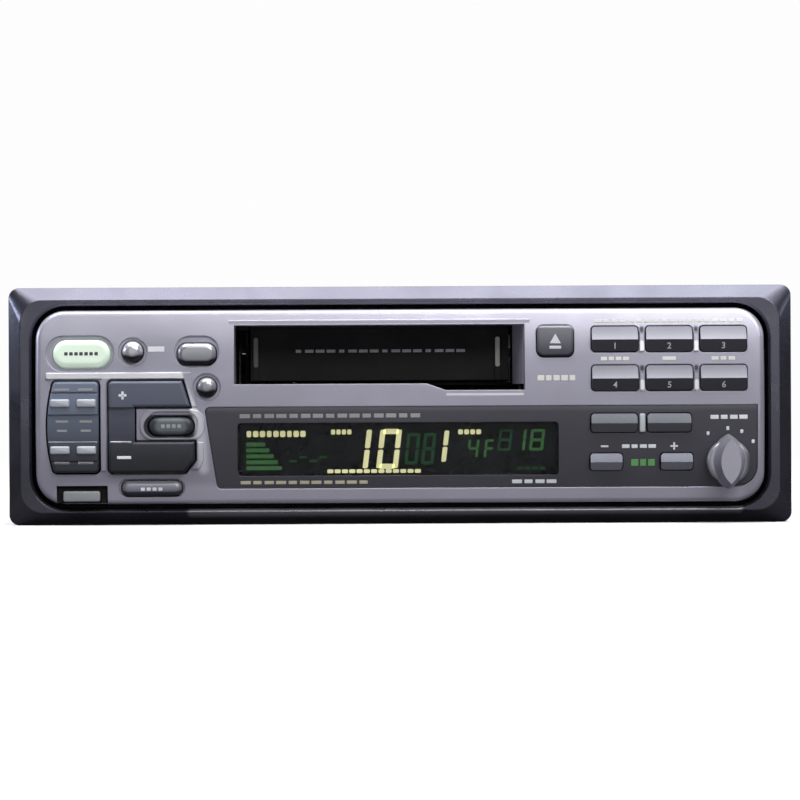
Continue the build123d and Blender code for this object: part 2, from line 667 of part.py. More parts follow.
for key_name, key_x, key_z in PRESETS:
    preset = bar_key(key_x, key_z, PRESET_WIDTH, PRESET_HEIGHT, 0.8, 1.7)
    preset.label = key_name
    export_step(preset, f"parts/{key_name}.step")

for key_name, key_x, key_z, dome_radius in DOME_KEYS:
    dome = dome_key(key_x, key_z, dome_radius)
    dome.label = key_name
    export_step(dome, f"parts/{key_name}.step")

# Eject key: square, rounder at the bottom, hollowed a little for the fingertip.
with BuildPart() as eject_key:
    with BuildSketch(front_at(KEY_BACK)) as eject_sketch:
        with Locations((EJECT_X, EJECT_Z)):
            Rectangle(EJECT_WIDTH, EJECT_HEIGHT)
        fillet(eject_sketch.vertices().group_by(Axis.Y)[0], 1.5)
        fillet(eject_sketch.vertices().group_by(Axis.Y)[-1], 1.0)
    extrude(amount=KEY_BACK - face_depth(EJECT_Z) + 1.2)
    fillet(eject_key.faces().sort_by(Axis.Y)[0].edges(), 0.6)
    with BuildSketch(front_at(KEY_BACK)):
        with Locations((EJECT_X, EJECT_Z)):
            Rectangle(EJECT_WIDTH + 2 * KEY_MARGIN, EJECT_HEIGHT + 2 * KEY_MARGIN)
    extrude(amount=KEY_BACK - KEY_FLANGE_FRONT)
eject_key.part.label = "eject_key"
export_step(eject_key.part, "parts/eject_key.step")

# Release key: fills its notch in the bottom edge and carries a raised pad.
with BuildPart() as release_key:
    with BuildSketch(front_at(KEY_BACK + 0.6)):
        with Locations((RELEASE_X, RELEASE_TOP - 2.2)):
            Rectangle(RELEASE_WIDTH - 0.6, 3.8)
    extrude(amount=KEY_BACK + 0.6 - FACE_Y - 2.6)
    with BuildSketch(front_at(KEY_BACK)):
        with Locations((RELEASE_X, RELEASE_TOP - 2.4)):
            RectangleRounded(9.2, 2.8, 0.8)
    extrude(amount=KEY_BACK - FACE_Y - 1.2)
    fillet(release_key.faces().sort_by(Axis.Y)[0].edges(), 0.4)
release_key.part.label = "release_key"
export_step(release_key.part, "parts/release_key.step")

# Seek rocker: tips about a level axis through its middle.
with BuildPart() as seek_rocker:
    with BuildSketch(front_at(KEY_BACK)):
        add(seek_outline())
    extrude(amount=KEY_BACK - FACE_Y + 0.6)
    fillet(seek_rocker.faces().sort_by(Axis.Y)[0].edges(), 0.7)
    # Sunken middle field between the two pads.
    with BuildSketch(front_at(FACE_Y - 0.1)):
        with Locations((-78.0, -5.2)):
            Rectangle(16.0, 6.6)
    extrude(amount=2.0, mode=Mode.SUBTRACT)
    # Grooves that set off the rows of marks.
    with BuildSketch(front_at(FACE_Y - 0.2)):
        with Locations((-78.0, 3.2), (-78.0, -13.2)):
            Rectangle(16.0, 0.5)
    extrude(amount=2.0, mode=Mode.SUBTRACT)
seek_rocker.part.label = "seek_rocker"
export_step(seek_rocker.part, "parts/seek_rocker.step")

# Volume rocker: raised arms above and below, lower bridge on the left.
with BuildPart() as volume_rocker:
    with BuildSketch(front_at(KEY_BACK)):
        add(volume_outline())
    extrude(amount=KEY_BACK - FACE_Y + 1.2)
    fillet(volume_rocker.faces().sort_by(Axis.Y)[0].edges(), 0.7)
    with BuildSketch(front_at(FACE_Y - 0.2)):
        with Locations((-66.4, -4.35)):
            Rectangle(8.0, 8.3)
    extrude(amount=2.0, mode=Mode.SUBTRACT)
volume_rocker.part.label = "volume_rocker"
export_step(volume_rocker.part, "parts/volume_rocker.step")

# Bass selector: round skirt with a tall pointed grip, on its own shaft.
with BuildPart() as bass_knob:
    with BuildSketch(front_at(FACE_Y - 0.3)):
        with Locations((KNOB_X, KNOB_Z)):
            Circle(KNOB_SKIRT)
    extrude(amount=2.6)
    fillet(bass_knob.faces().sort_by(Axis.Y)[0].edges(), 1.0)
    with BuildSketch(front_at(FACE_Y - 0.6)):
        with BuildLine():
            grip_top = KNOB_Z + KNOB_GRIP_LENGTH / 2
            grip_foot = KNOB_Z - KNOB_GRIP_LENGTH / 2
            ThreePointArc((KNOB_X, grip_foot), (KNOB_X + 4.3, KNOB_Z), (KNOB_X, grip_top))
            ThreePointArc((KNOB_X, grip_top), (KNOB_X - 4.3, KNOB_Z), (KNOB_X, grip_foot))
        make_face()
    with BuildSketch(front_at(KNOB_TIP)):
        with BuildLine():
            ThreePointArc((KNOB_X, grip_foot + 1.3), (KNOB_X + 2.4, KNOB_Z), (KNOB_X, grip_top - 1.3))
            ThreePointArc((KNOB_X, grip_top - 1.3), (KNOB_X - 2.4, KNOB_Z), (KNOB_X, grip_foot + 1.3))
        make_face()
    loft()
    with BuildSketch(front_at(BOARD_FRONT - 0.5)):
        with Locations((KNOB_X, KNOB_Z)):
            Circle(KNOB_SHAFT)
    extrude(amount=BOARD_FRONT - 0.5 - FACE_Y + 0.6)
bass_knob.part.label = "bass_knob"
export_step(bass_knob.part, "parts/bass_knob.step")

# ---- Chassis ----

TRAY_TOP = CHASSIS_HEIGHT / 2 - SHEET
TRAY_BOTTOM = -CHASSIS_HEIGHT / 2
HALF_WIDTH = CHASSIS_WIDTH / 2
SCREW_YS = (-50.0, 8.0, 66.0)
SCREW_Z = 18.0
with BuildPart() as chassis_tray:
    with BuildSketch(front_at(TRAY_FRONT)):
        with Locations((0, (TRAY_TOP + TRAY_BOTTOM) / 2)):
            Rectangle(CHASSIS_WIDTH, TRAY_TOP - TRAY_BOTTOM)
    extrude(amount=TRAY_FRONT - REAR_Y)
    fillet(chassis_tray.edges().filter_by(Axis.Y).group_by(Axis.Z)[0], 1.5)
    with BuildSketch(front_at(TRAY_FRONT)):
        with Locations((0, SHEET / 2 + (TRAY_TOP + TRAY_BOTTOM) / 2)):
            Rectangle(CHASSIS_WIDTH - 2 * SHEET, TRAY_TOP - TRAY_BOTTOM - SHEET)
    extrude(amount=TRAY_FRONT - REAR_Y + SHEET, mode=Mode.SUBTRACT)
    # Threaded collars for the mounting screws on both sides.
    for wall_x, inward in ((HALF_WIDTH, -1), (-HALF_WIDTH, 1)):
        with BuildSketch(side_at(wall_x)):
            with Locations((SIDE_HOLE_Y, SIDE_HOLE_Z)):
                with GridLocations(SIDE_HOLE_PITCH, 1.0, 2, 1):
                    Circle(4.0)
        extrude(amount=3.0 * inward)
        with BuildSketch(side_at(wall_x)):
            with Locations((SIDE_HOLE_Y, SIDE_HOLE_Z)):
                with GridLocations(SIDE_HOLE_PITCH, 1.0, 2, 1):
                    Circle(SIDE_HOLE_RADIUS)
            for screw_y in SCREW_YS:
                with Locations((screw_y, SCREW_Z)):
                    Circle(1.4)
            # Cooling slots near the back.
            with Locations((50.0, -4.0)):
                with GridLocations(5.0, 1.0, 5, 1):
                    SlotOverall(20.0, 2.0, rotation=90)
        extrude(amount=5.0 * inward, mode=Mode.SUBTRACT)
    with BuildSketch(front_at(REAR_Y)):
        with Locations((STUD_X, STUD_Z)):
            Circle(STUD_RADIUS - 0.05)
        with Locations((AERIAL_X, AERIAL_Z)):
            Circle(6.6)
        with Locations((LINE_OUT_X, LINE_OUT_Z)):
            Rectangle(27.4, 13.4)
        with Locations((PLUG_X, PLUG_Z)):
            Rectangle(54.4, 20.4)
        with Locations((HEAT_SINK_X, 0)):
            with GridLocations(34.0, 30.0, 2, 2):
                Circle(1.6)
    extrude(amount=5.0, both=True, mode=Mode.SUBTRACT)
    # Two rows of cooling slots in the floor.
    with BuildSketch(level_at(TRAY_BOTTOM)):
        with Locations((40.0, 40.0)):
            with GridLocations(7.0, 26.0, 8, 2):
                SlotOverall(20.0, 2.4, rotation=90)
    extrude(amount=SHEET, mode=Mode.SUBTRACT)
chassis_tray.part.label = "chassis_tray"
export_step(chassis_tray.part, "parts/chassis_tray.step")

with BuildPart() as top_cover:
    with BuildSketch(level_at(TRAY_TOP)):
        with Locations((0, (TRAY_FRONT + REAR_Y) / 2)):
            Rectangle(CHASSIS_WIDTH, REAR_Y - TRAY_FRONT)
    extrude(amount=SHEET)
    fillet(top_cover.edges().filter_by(Axis.Y).group_by(Axis.Z)[-1], 0.9)
    # Down-turned flanges inside the side walls, tapped for the cover screws.
    for flange_x in (HALF_WIDTH - 1.6 * SHEET, -HALF_WIDTH + 1.6 * SHEET):
        with BuildSketch(side_at(flange_x)):
            with Locations(((TRAY_FRONT + REAR_Y) / 2 + 6.0, TRAY_TOP - 5.0)):
                Rectangle(REAR_Y - TRAY_FRONT - 16.0, 10.0)
            for screw_y in SCREW_YS:
                with Locations((screw_y, SCREW_Z)):
                    Circle(1.28, mode=Mode.SUBTRACT)
        extrude(amount=0.5, both=True)
    with BuildSketch(level_at(TRAY_TOP)):
        with Locations((55.0, 46.0)):
            with GridLocations(6.0, 24.0, 8, 2):
                SlotOverall(18.0, 2.4, rotation=90)
        with Locations((-60.0, 50.0)):
            with GridLocations(6.0, 1.0, 6, 1):
                SlotOverall(18.0, 2.4, rotation=90)
    extrude(amount=SHEET, mode=Mode.SUBTRACT)
    # Pressed stiffening panel over the cassette deck.
    with BuildSketch(level_at(TRAY_TOP + SHEET)):
        with Locations((CASSETTE_X, -10.0)):
            RectangleRounded(84.0, 80.0, 6.0)
            RectangleRounded(78.0, 74.0, 4.0, mode=Mode.SUBTRACT)
    extrude(amount=-0.4, mode=Mode.SUBTRACT)
top_cover.part.label = "top_cover"
export_step(top_cover.part, "parts/top_cover.step")

# Six pan-head screws with a cross recess hold the cover.
with BuildPart() as cover_screws:
    for head_x, outward in ((HALF_WIDTH, 1), (-HALF_WIDTH, -1)):
        with BuildSketch(side_at(head_x)):
            for screw_y in SCREW_YS:
                with Locations((screw_y, SCREW_Z)):
                    Circle(2.4)
        extrude(amount=1.4 * outward)
        with BuildSketch(side_at(head_x)):
            for screw_y in SCREW_YS:
                with Locations((screw_y, SCREW_Z)):
                    Circle(1.2)
        extrude(amount=-4.5 * outward)
        with BuildSketch(side_at(head_x + 1.4 * outward)):
            for screw_y in SCREW_YS:
                with Locations((screw_y, SCREW_Z)):
                    Rectangle(2.6, 0.6)
                    Rectangle(0.6, 2.6)
        extrude(amount=-0.9 * outward, mode=Mode.SUBTRACT)
cover_screws.part.label = "cover_screws"
export_step(cover_screws.part, "parts/cover_screws.step")

# ---- Rear panel fittings ----

SINK_WIDTH, SINK_HEIGHT, SINK_BASE, SINK_DEPTH = 46.0, 44.0, 2.5, 8.5
with BuildPart() as heat_sink:
    with BuildSketch(front_at(REAR_Y)):
        with Locations((HEAT_SINK_X, 0)):
            RectangleRounded(SINK_WIDTH, SINK_HEIGHT, 1.0)
    extrude(amount=-SINK_BASE)
    with BuildSketch(front_at(REAR_Y + SINK_BASE)):
        with Locations((HEAT_SINK_X, 0)):
            with GridLocations(SINK_WIDTH / 10, 1.0, 10, 1):
                Rectangle(1.6, SINK_HEIGHT - 2.0)
    extrude(amount=-(SINK_DEPTH - SINK_BASE))
heat_sink.part.label = "heat_sink"
export_step(heat_sink.part, "parts/heat_sink.step")

# Power and speaker block: two plug chambers side by side, with a fuse beside them.
CHAMBER_WIDTH, CHAMBER_HEIGHT, CHAMBER_DEPTH = 21.4, 12.4, 13.0
CHAMBER_XS = (PLUG_X - 14.6, PLUG_X + 8.4)
BLOCK_TIP = REAR_Y + 4.5
FUSE_X = PLUG_X + 22.8
with BuildPart() as power_connector:
    with BuildSketch(front_at(REAR_Y - 10.0)):
        with Locations((PLUG_X, PLUG_Z)):
            RectangleRounded(54.0, 20.0, 1.0)
    extrude(amount=-(BLOCK_TIP - REAR_Y + 10.0))
    with BuildSketch(front_at(BLOCK_TIP)):
        for chamber_x in CHAMBER_XS:
            with Locations((chamber_x, PLUG_Z)):
                RectangleRounded(CHAMBER_WIDTH, CHAMBER_HEIGHT, 0.8)
        with Locations((FUSE_X, PLUG_Z)):
            Rectangle(4.4, 16.4)
    extrude(amount=CHAMBER_DEPTH, mode=Mode.SUBTRACT)
    # Eight blade pins in each chamber.
    with BuildSketch(front_at(BLOCK_TIP - CHAMBER_DEPTH)):
        for chamber_x in CHAMBER_XS:
            with Locations((chamber_x, PLUG_Z)):
                with GridLocations(5.0, 6.0, 4, 2):
                    Rectangle(2.8, 0.8)
    extrude(amount=-7.0)
power_connector.part.label = "power_connector"
export_step(power_connector.part, "parts/power_connector.step")

with BuildPart() as blade_fuse:
    with BuildSketch(front_at(BLOCK_TIP - 5.0)):
        with Locations((FUSE_X, PLUG_Z)):
            RectangleRounded(3.8, 15.6, 0.5)
    extrude(amount=-6.5)
    with BuildSketch(front_at(BLOCK_TIP - 5.0)):
        with Locations((FUSE_X, PLUG_Z)):
            with GridLocations(1.0, 9.6, 1, 2):
                Rectangle(0.7, 4.6)
    extrude(amount=7.0)
blade_fuse.part.label = "blade_fuse"
export_step(blade_fuse.part, "parts/blade_fuse.step")

AERIAL_BORE = 4.65
with BuildPart() as aerial_socket:
    with BuildSketch(front_at(REAR_Y)):
        with Locations((AERIAL_X, AERIAL_Z)):
            RegularPolygon(8.0, 6)
    extrude(amount=-1.5)
    with BuildSketch(front_at(REAR_Y - 12.0)):
        with Locations((AERIAL_X, AERIAL_Z)):
            Circle(6.4)
    extrude(amount=-18.0)
    with BuildSketch(front_at(REAR_Y + 6.0)):
        with Locations((AERIAL_X, AERIAL_Z)):
            Circle(AERIAL_BORE)
    extrude(amount=12.0, mode=Mode.SUBTRACT)
    with BuildSketch(front_at(REAR_Y - 6.0)):
        with Locations((AERIAL_X, AERIAL_Z)):
            Circle(1.4)
    extrude(amount=4.0, mode=Mode.SUBTRACT)
aerial_socket.part.label = "aerial_socket"
export_step(aerial_socket.part, "parts/aerial_socket.step")

LINE_OUT_PITCH = 13.0
with BuildPart() as line_out_jacks:
    with BuildSketch(front_at(REAR_Y - 9.0)):
        with Locations((LINE_OUT_X, LINE_OUT_Z)):
            Rectangle(27.0, 13.0)
    extrude(amount=-10.0)
    with BuildSketch(front_at(REAR_Y + 1.0)):
        with Locations((LINE_OUT_X, LINE_OUT_Z)):
            with GridLocations(LINE_OUT_PITCH, 1.0, 2, 1):
                Circle(4.15)
    extrude(amount=-7.0)
    with BuildSketch(front_at(REAR_Y + 8.0)):
        with Locations((LINE_OUT_X, LINE_OUT_Z)):
            with GridLocations(LINE_OUT_PITCH, 1.0, 2, 1):
                Circle(3.4)
                Circle(2.6, mode=Mode.SUBTRACT)
    extrude(amount=6.5, mode=Mode.SUBTRACT)
    with BuildSketch(front_at(REAR_Y + 8.0)):
        with Locations((LINE_OUT_X, LINE_OUT_Z)):
            with GridLocations(LINE_OUT_PITCH, 1.0, 2, 1):
                Circle(1.6)
    extrude(amount=9.0, mode=Mode.SUBTRACT)
line_out_jacks.part.label = "line_out_jacks"
export_step(line_out_jacks.part, "parts/line_out_jacks.step")

# Threaded stud that takes the rear support strap: shank, hexagonal collar and threaded end.
COLLAR = 2.5
with BuildPart() as rear_stud:
    with BuildSketch(front_at(REAR_Y - 4.0)):
        with Locations((STUD_X, STUD_Z)):
            Circle(STUD_RADIUS - 0.1)
    extrude(amount=-4.0)
    with BuildSketch(front_at(REAR_Y + COLLAR)):
        with Locations((STUD_X, STUD_Z)):
            Circle(STUD_RADIUS)
    extrude(amount=-(STUD_TIP - REAR_Y - COLLAR))
    chamfer(rear_stud.faces().sort_by(Axis.Y)[-1].edges(), 0.5)
    with BuildSketch(front_at(REAR_Y)):
        with Locations((STUD_X, STUD_Z)):
            RegularPolygon(4.6, 6)
    extrude(amount=-COLLAR)
rear_stud.part.label = "rear_stud"
export_step(rear_stud.part, "parts/rear_stud.step")

# ---- Electronics ----

BOARD_Z = TRAY_BOTTOM + 4.4
PCB = 1.6
with BuildPart() as main_board:
    with BuildSketch(level_at(BOARD_Z)):
        with Locations((0, 11.0)):
            RectangleRounded(170.0, 128.0, 2.0)
        with Locations((CASSETTE_X, 0)):
            with GridLocations(90.0, 92.0, 2, 2):
                Rectangle(12.0, 5.0, mode=Mode.SUBTRACT)
    extrude(amount=PCB)
    # Four pillars stand on the tray.
    with BuildSketch(level_at(BOARD_Z)):
        with Locations((0, 8.0)):
            with GridLocations(160.0, 112.0, 2, 2):
                Circle(3.0)
    extrude(amount=-(BOARD_Z - TRAY_BOTTOM - SHEET))
    # Integrated circuits and small parts in rows.
    with BuildSketch(level_at(BOARD_Z + PCB)):
        with Locations((-20.0, -20.0), (10.0, 10.0)):
            Rectangle(20.0, 14.0)
        with Locations((30.0, -30.0), (-20.0, 30.0)):
            Rectangle(14.0, 8.0)
    extrude(amount=2.4)
main_board.part.label = "main_board"
export_step(main_board.part, "parts/main_board.step")

with BuildPart() as tuner_module:
    with BuildSketch(level_at(BOARD_Z + PCB)):
        with Locations((-71.0, 20.0)):
            RectangleRounded(24.0, 52.0, 1.0)
    extrude(amount=16.0)
    with BuildSketch(level_at(BOARD_Z + PCB + 16.0)):
        with Locations((-71.0, 20.0)):
            with GridLocations(1.0, 14.0, 1, 3):
                Circle(1.6)
    extrude(amount=-3.0, mode=Mode.SUBTRACT)
tuner_module.part.label = "tuner_module"
export_step(tuner_module.part, "parts/tuner_module.step")

with BuildPart() as filter_capacitors:
    with BuildSketch(level_at(BOARD_Z + PCB)):
        with Locations((-66.0, -22.0), (-66.0, -36.0), (72.0, -34.0)):
            Circle(5.0)
        with Locations((72.0, -18.0)):
            Circle(6.5)
    extrude(amount=14.0)
    fillet(filter_capacitors.faces().group_by(Axis.Z)[-1].edges(), 0.8)
filter_capacitors.part.label = "filter_capacitors"
export_step(filter_capacitors.part, "parts/filter_capacitors.step")

# Power amplifier package, clamped to the rear wall in front of the heat sink, with its leads on the board.
LEAD_TOP = -4.0
with BuildPart() as amplifier_chip:
    with BuildSketch(front_at(REAR_Y - SHEET - 0.1)):
        with Locations((HEAT_SINK_X, 4.0)):
            Rectangle(28.0, 16.0)
    extrude(amount=4.5)
    with BuildSketch(level_at(LEAD_TOP)):
        with Locations((HEAT_SINK_X, REAR_Y - SHEET - 2.4)):
            with GridLocations(2.2, 1.0, 12, 1):
                Rectangle(0.8, 0.6)
    extrude(amount=BOARD_Z + PCB + 0.05 - LEAD_TOP)
amplifier_chip.part.label = "amplifier_chip"
export_step(amplifier_chip.part, "parts/amplifier_chip.step")

# ---- Cassette deck ----

HOLDER_SIDE = 0.8
HOLDER_HEIGHT = 12.8
HOLDER_HALF = CASSETTE_WIDTH / 2 + 0.6
HOLDER_TOP = HOLDER_FLOOR + HOLDER_HEIGHT
GUIDE_LEFT = CASSETTE_X - HOLDER_HALF - HOLDER_SIDE - 1.6
GUIDE_RIGHT = CASSETTE_X + HOLDER_HALF + HOLDER_SIDE + 1.6
GUIDE_YS = (-47.0, 47.0)
GUIDE_PIN_Z = HOLDER_FLOOR + 3.4
with BuildPart() as deck_base:
    with BuildSketch(level_at(DECK_TOP)):
        with Locations((CASSETTE_X, 0)):
            Rectangle(100.0, 106.0)
        with Locations((MOTOR_X - 2.0, MOTOR_Y)):
            Rectangle(34.0, 30.0)
        with Locations((REEL_X, REEL_HALF_PITCH), (REEL_X, -REEL_HALF_PITCH)):
            Circle(1.56, mode=Mode.SUBTRACT)
        with Locations((CAPSTAN_X, CAPSTAN_HALF_PITCH), (CAPSTAN_X, -CAPSTAN_HALF_PITCH)):
            Circle(1.05, mode=Mode.SUBTRACT)
        with Locations((MOTOR_X, MOTOR_Y)):
            Circle(2.0, mode=Mode.SUBTRACT)
    extrude(amount=-SHEET)
    # Legs down to the tray.
    with BuildSketch(level_at(DECK_TOP - SHEET)):
        with Locations((CASSETTE_X, 0)):
            with GridLocations(90.0, 92.0, 2, 2):
                Rectangle(8.0, 1.2)
    extrude(amount=-(DECK_TOP - SHEET - TRAY_BOTTOM - SHEET))
    # Upright guides with slots for the holder's pins.
    with BuildSketch(side_at(GUIDE_LEFT)):
        for guide_y in GUIDE_YS:
            with Locations((guide_y, (DECK_TOP + GUIDE_PIN_Z + 4.0) / 2)):
                Rectangle(8.0, GUIDE_PIN_Z + 4.0 - DECK_TOP)
            with Locations((guide_y, GUIDE_PIN_Z - HOLDER_DROP / 2)):
                SlotOverall(HOLDER_DROP + 3.0, 2.2, rotation=90, mode=Mode.SUBTRACT)
    extrude(amount=0.5, both=True)
    with BuildSketch(side_at(GUIDE_RIGHT)):
        for guide_y in GUIDE_YS:
            with Locations((guide_y, (DECK_TOP + GUIDE_PIN_Z + 4.0) / 2)):
                Rectangle(8.0, GUIDE_PIN_Z + 4.0 - DECK_TOP)
            with Locations((guide_y, GUIDE_PIN_Z - HOLDER_DROP / 2)):
                SlotOverall(HOLDER_DROP + 3.0, 2.2, rotation=90, mode=Mode.SUBTRACT)
    extrude(amount=0.5, both=True)
deck_base.part.label = "deck_base"
export_step(deck_base.part, "parts/deck_base.step")

# Holder that takes the cassette in at slot height and lowers it onto the reels.
with BuildPart() as cassette_holder:
    with BuildSketch(front_at(HOLDER_FRONT)):
        with Locations((CASSETTE_X, (HOLDER_FLOOR + HOLDER_TOP) / 2)):
            Rectangle(2 * (HOLDER_HALF + HOLDER_SIDE), HOLDER_HEIGHT + 2 * HOLDER_SIDE)
            Rectangle(2 * HOLDER_HALF, HOLDER_HEIGHT, mode=Mode.SUBTRACT)
    extrude(amount=HOLDER_FRONT - HOLDER_BACK)
    # Stop at the far end.
    with BuildSketch(front_at(HOLDER_BACK)):
        with Locations((CASSETTE_X, HOLDER_TOP - 2.4)):
            Rectangle(2 * HOLDER_HALF, 6.0)
    extrude(amount=0.8)
    # Open floor and wall on the tape side, for the capstans, rollers and head.
    with BuildSketch(level_at(HOLDER_FLOOR + HOLDER_HEIGHT - 0.5)):
        with Locations((CASSETTE_X + HOLDER_HALF - 9.0, 0)):
            Rectangle(22.0, 84.0)
    extrude(amount=-HOLDER_HEIGHT - 2.0, mode=Mode.SUBTRACT)
    with BuildSketch(level_at(HOLDER_FLOOR + 0.5)):
        with Locations((REEL_X, REEL_HALF_PITCH), (REEL_X, -REEL_HALF_PITCH)):
            Circle(6.2)
    extrude(amount=-2.0, mode=Mode.SUBTRACT)
    # Lightening window in the roof.
    with BuildSketch(level_at(HOLDER_TOP + HOLDER_SIDE)):
        with Locations((CASSETTE_X, 4.0)):
            RectangleRounded(40.0, 56.0, 4.0)
    extrude(amount=-1.5, mode=Mode.SUBTRACT)
    # Guide pins.
    for pin_x, outward in (
        (CASSETTE_X - HOLDER_HALF - HOLDER_SIDE, -1),
        (CASSETTE_X + HOLDER_HALF + HOLDER_SIDE, 1),
    ):
        with BuildSketch(side_at(pin_x)):
            for guide_y in GUIDE_YS:
                with Locations((guide_y, GUIDE_PIN_Z)):
                    Circle(1.0)
        extrude(amount=2.4 * outward)
cassette_holder.part.label = "cassette_holder"
export_step(cassette_holder.part, "parts/cassette_holder.step")

# Reel hubs: drive disc, six-toothed spindle and a journal in the deck.
for hub_name, hub_y in (("reel_hub_front", -REEL_HALF_PITCH), ("reel_hub_rear", REEL_HALF_PITCH)):
    with BuildPart() as reel_hub:
        with BuildSketch(level_at(DECK_TOP + 0.3)):
            with Locations((REEL_X, hub_y)):
                Circle(9.0)
        extrude(amount=1.4)
        with BuildSketch(level_at(DECK_TOP + 0.3)):
            with Locations((REEL_X, hub_y)):
                Circle(3.4)
                with PolarLocations(3.4, 6):
                    Rectangle(2.2, 1.2)
        extrude(amount=8.6)
        with BuildSketch(level_at(DECK_TOP + 8.9)):
            with Locations((REEL_X, hub_y)):
                Circle(2.6)
        extrude(amount=1.4, taper=25)
        with BuildSketch(level_at(DECK_TOP + 0.3)):
            with Locations((REEL_X, hub_y)):
                Circle(1.5)
        extrude(amount=-1.8)
    reel_hub.part.label = hub_name
    export_step(reel_hub.part, f"parts/{hub_name}.step")

# Flywheels with their capstans.
for wheel_name, wheel_y in (("flywheel_front", -CAPSTAN_HALF_PITCH), ("flywheel_rear", CAPSTAN_HALF_PITCH)):
    with BuildPart() as flywheel:
        with BuildSketch(level_at(DECK_TOP - SHEET - 1.0)):
            with Locations((CAPSTAN_X, wheel_y)):
                Circle(FLYWHEEL_RADIUS)
        extrude(amount=-4.5)
        with BuildSketch(level_at(DECK_TOP - SHEET - 1.0)):
            with Locations((CAPSTAN_X, wheel_y)):
                Circle(1.0)
        extrude(amount=12.2)
        with BuildSketch(level_at(DECK_TOP - SHEET - 5.5)):
            with Locations((CAPSTAN_X, wheel_y)):
                with PolarLocations(8.0, 6):
                    Circle(2.2)
        extrude(amount=1.5, mode=Mode.SUBTRACT)
    flywheel.part.label = wheel_name
    export_step(flywheel.part, f"parts/{wheel_name}.step")

with BuildPart() as deck_motor:
    with BuildSketch(level_at(DECK_TOP)):
        with Locations((MOTOR_X, MOTOR_Y)):
            Circle(MOTOR_RADIUS)
    extrude(amount=24.0)
    fillet(deck_motor.faces().sort_by(Axis.Z)[-1].edges(), 1.5)
    with BuildSketch(level_at(DECK_TOP)):
        with Locations((MOTOR_X, MOTOR_Y)):
            Circle(1.1)
    extrude(amount=3.0, mode=Mode.SUBTRACT)
deck_motor.part.label = "deck_motor"
export_step(deck_motor.part, "parts/deck_motor.step")

with BuildPart() as motor_pulley:
    with BuildSketch(level_at(BELT_Z + 1.2)):
        with Locations((MOTOR_X, MOTOR_Y)):
            Circle(PULLEY_RADIUS)
    extrude(amount=-2.4)
    with BuildSketch(level_at(BELT_Z + 1.2)):
        with Locations((MOTOR_X, MOTOR_Y)):
            Circle(PULLEY_RADIUS + 1.2)
    extrude(amount=0.6)
    with BuildSketch(level_at(BELT_Z - 1.2)):
        with Locations((MOTOR_X, MOTOR_Y)):
            Circle(PULLEY_RADIUS + 1.2)
    extrude(amount=-0.6)
    with BuildSketch(level_at(BELT_Z)):
        with Locations((MOTOR_X, MOTOR_Y)):
            Circle(1.0)
    extrude(amount=DECK_TOP - BELT_Z + 2.6)
    # Locating flat: makes the turn visible and seats the pressing tool.
    with BuildSketch(level_at(BELT_Z - 1.8)):
        with Locations((MOTOR_X, MOTOR_Y)):
            Rectangle(4.0, 1.0)
    extrude(amount=0.8, mode=Mode.SUBTRACT)
motor_pulley.part.label = "motor_pulley"
export_step(motor_pulley.part, "parts/motor_pulley.step")


def belt_loop(clearance):
    """Taut loop around the two flywheels and the pulley, that far outside them."""
    with BuildSketch() as loop:
        with BuildLine() as rims:
            CenterArc((CAPSTAN_X, CAPSTAN_HALF_PITCH), FLYWHEEL_RADIUS + clearance, 0, 360)
            CenterArc((CAPSTAN_X, -CAPSTAN_HALF_PITCH), FLYWHEEL_RADIUS + clearance, 0, 360)
            CenterArc((MOTOR_X, MOTOR_Y), PULLEY_RADIUS + clearance, 0, 360)
        make_hull(rims.edges())
    return loop.sketch


with BuildPart() as drive_belt:
    with BuildSketch(level_at(BELT_Z - 0.9)):
        add(belt_loop(0.75))
        add(belt_loop(0.05), mode=Mode.SUBTRACT)
    extrude(amount=1.8)
drive_belt.part.label = "drive_belt"
export_step(drive_belt.part, "parts/drive_belt.step")

# Head carriage: slides towards the tape with the head and both pinch rollers.
PINCH_X = CAPSTAN_X + 1.0 + PINCH_RADIUS + 0.1 + HEAD_STROKE
HEAD_X = CASSETTE_X + CASSETTE_WIDTH / 2 + 4.0
with BuildPart() as head_carriage:
    with BuildSketch(level_at(DECK_TOP + 0.3)):
        with Locations((PINCH_X + 8.6, 0)):
            Rectangle(22.0, 82.0)
        with Locations((PINCH_X + 14.0, 0)):
            SlotOverall(30.0, 3.0, rotation=90, mode=Mode.SUBTRACT)
    extrude(amount=1.0)
    with BuildSketch(level_at(DECK_TOP + 1.3)):
        with Locations((HEAD_X + 5.2, 0)):
            Rectangle(10.4, 16.0)
    extrude(amount=2.2)
    with BuildSketch(level_at(DECK_TOP + 1.3)):
        with Locations((PINCH_X, CAPSTAN_HALF_PITCH), (PINCH_X, -CAPSTAN_HALF_PITCH)):
            Circle(1.0)
    extrude(amount=11.4)
head_carriage.part.label = "head_carriage"
export_step(head_carriage.part, "parts/head_carriage.step")

with BuildPart() as tape_head:
    with BuildSketch(level_at(DECK_TOP + 3.5)):
        with BuildLine():
            Polyline((HEAD_X + 1.5, -6.5), (HEAD_X + 10.0, -6.5), (HEAD_X + 10.0, 6.5), (HEAD_X + 1.5, 6.5))
            ThreePointArc((HEAD_X + 1.5, 6.5), (HEAD_X - 0.5, 0), (HEAD_X + 1.5, -6.5))
        make_face()
    extrude(amount=11.0)
tape_head.part.label = "tape_head"
export_step(tape_head.part, "parts/tape_head.step")

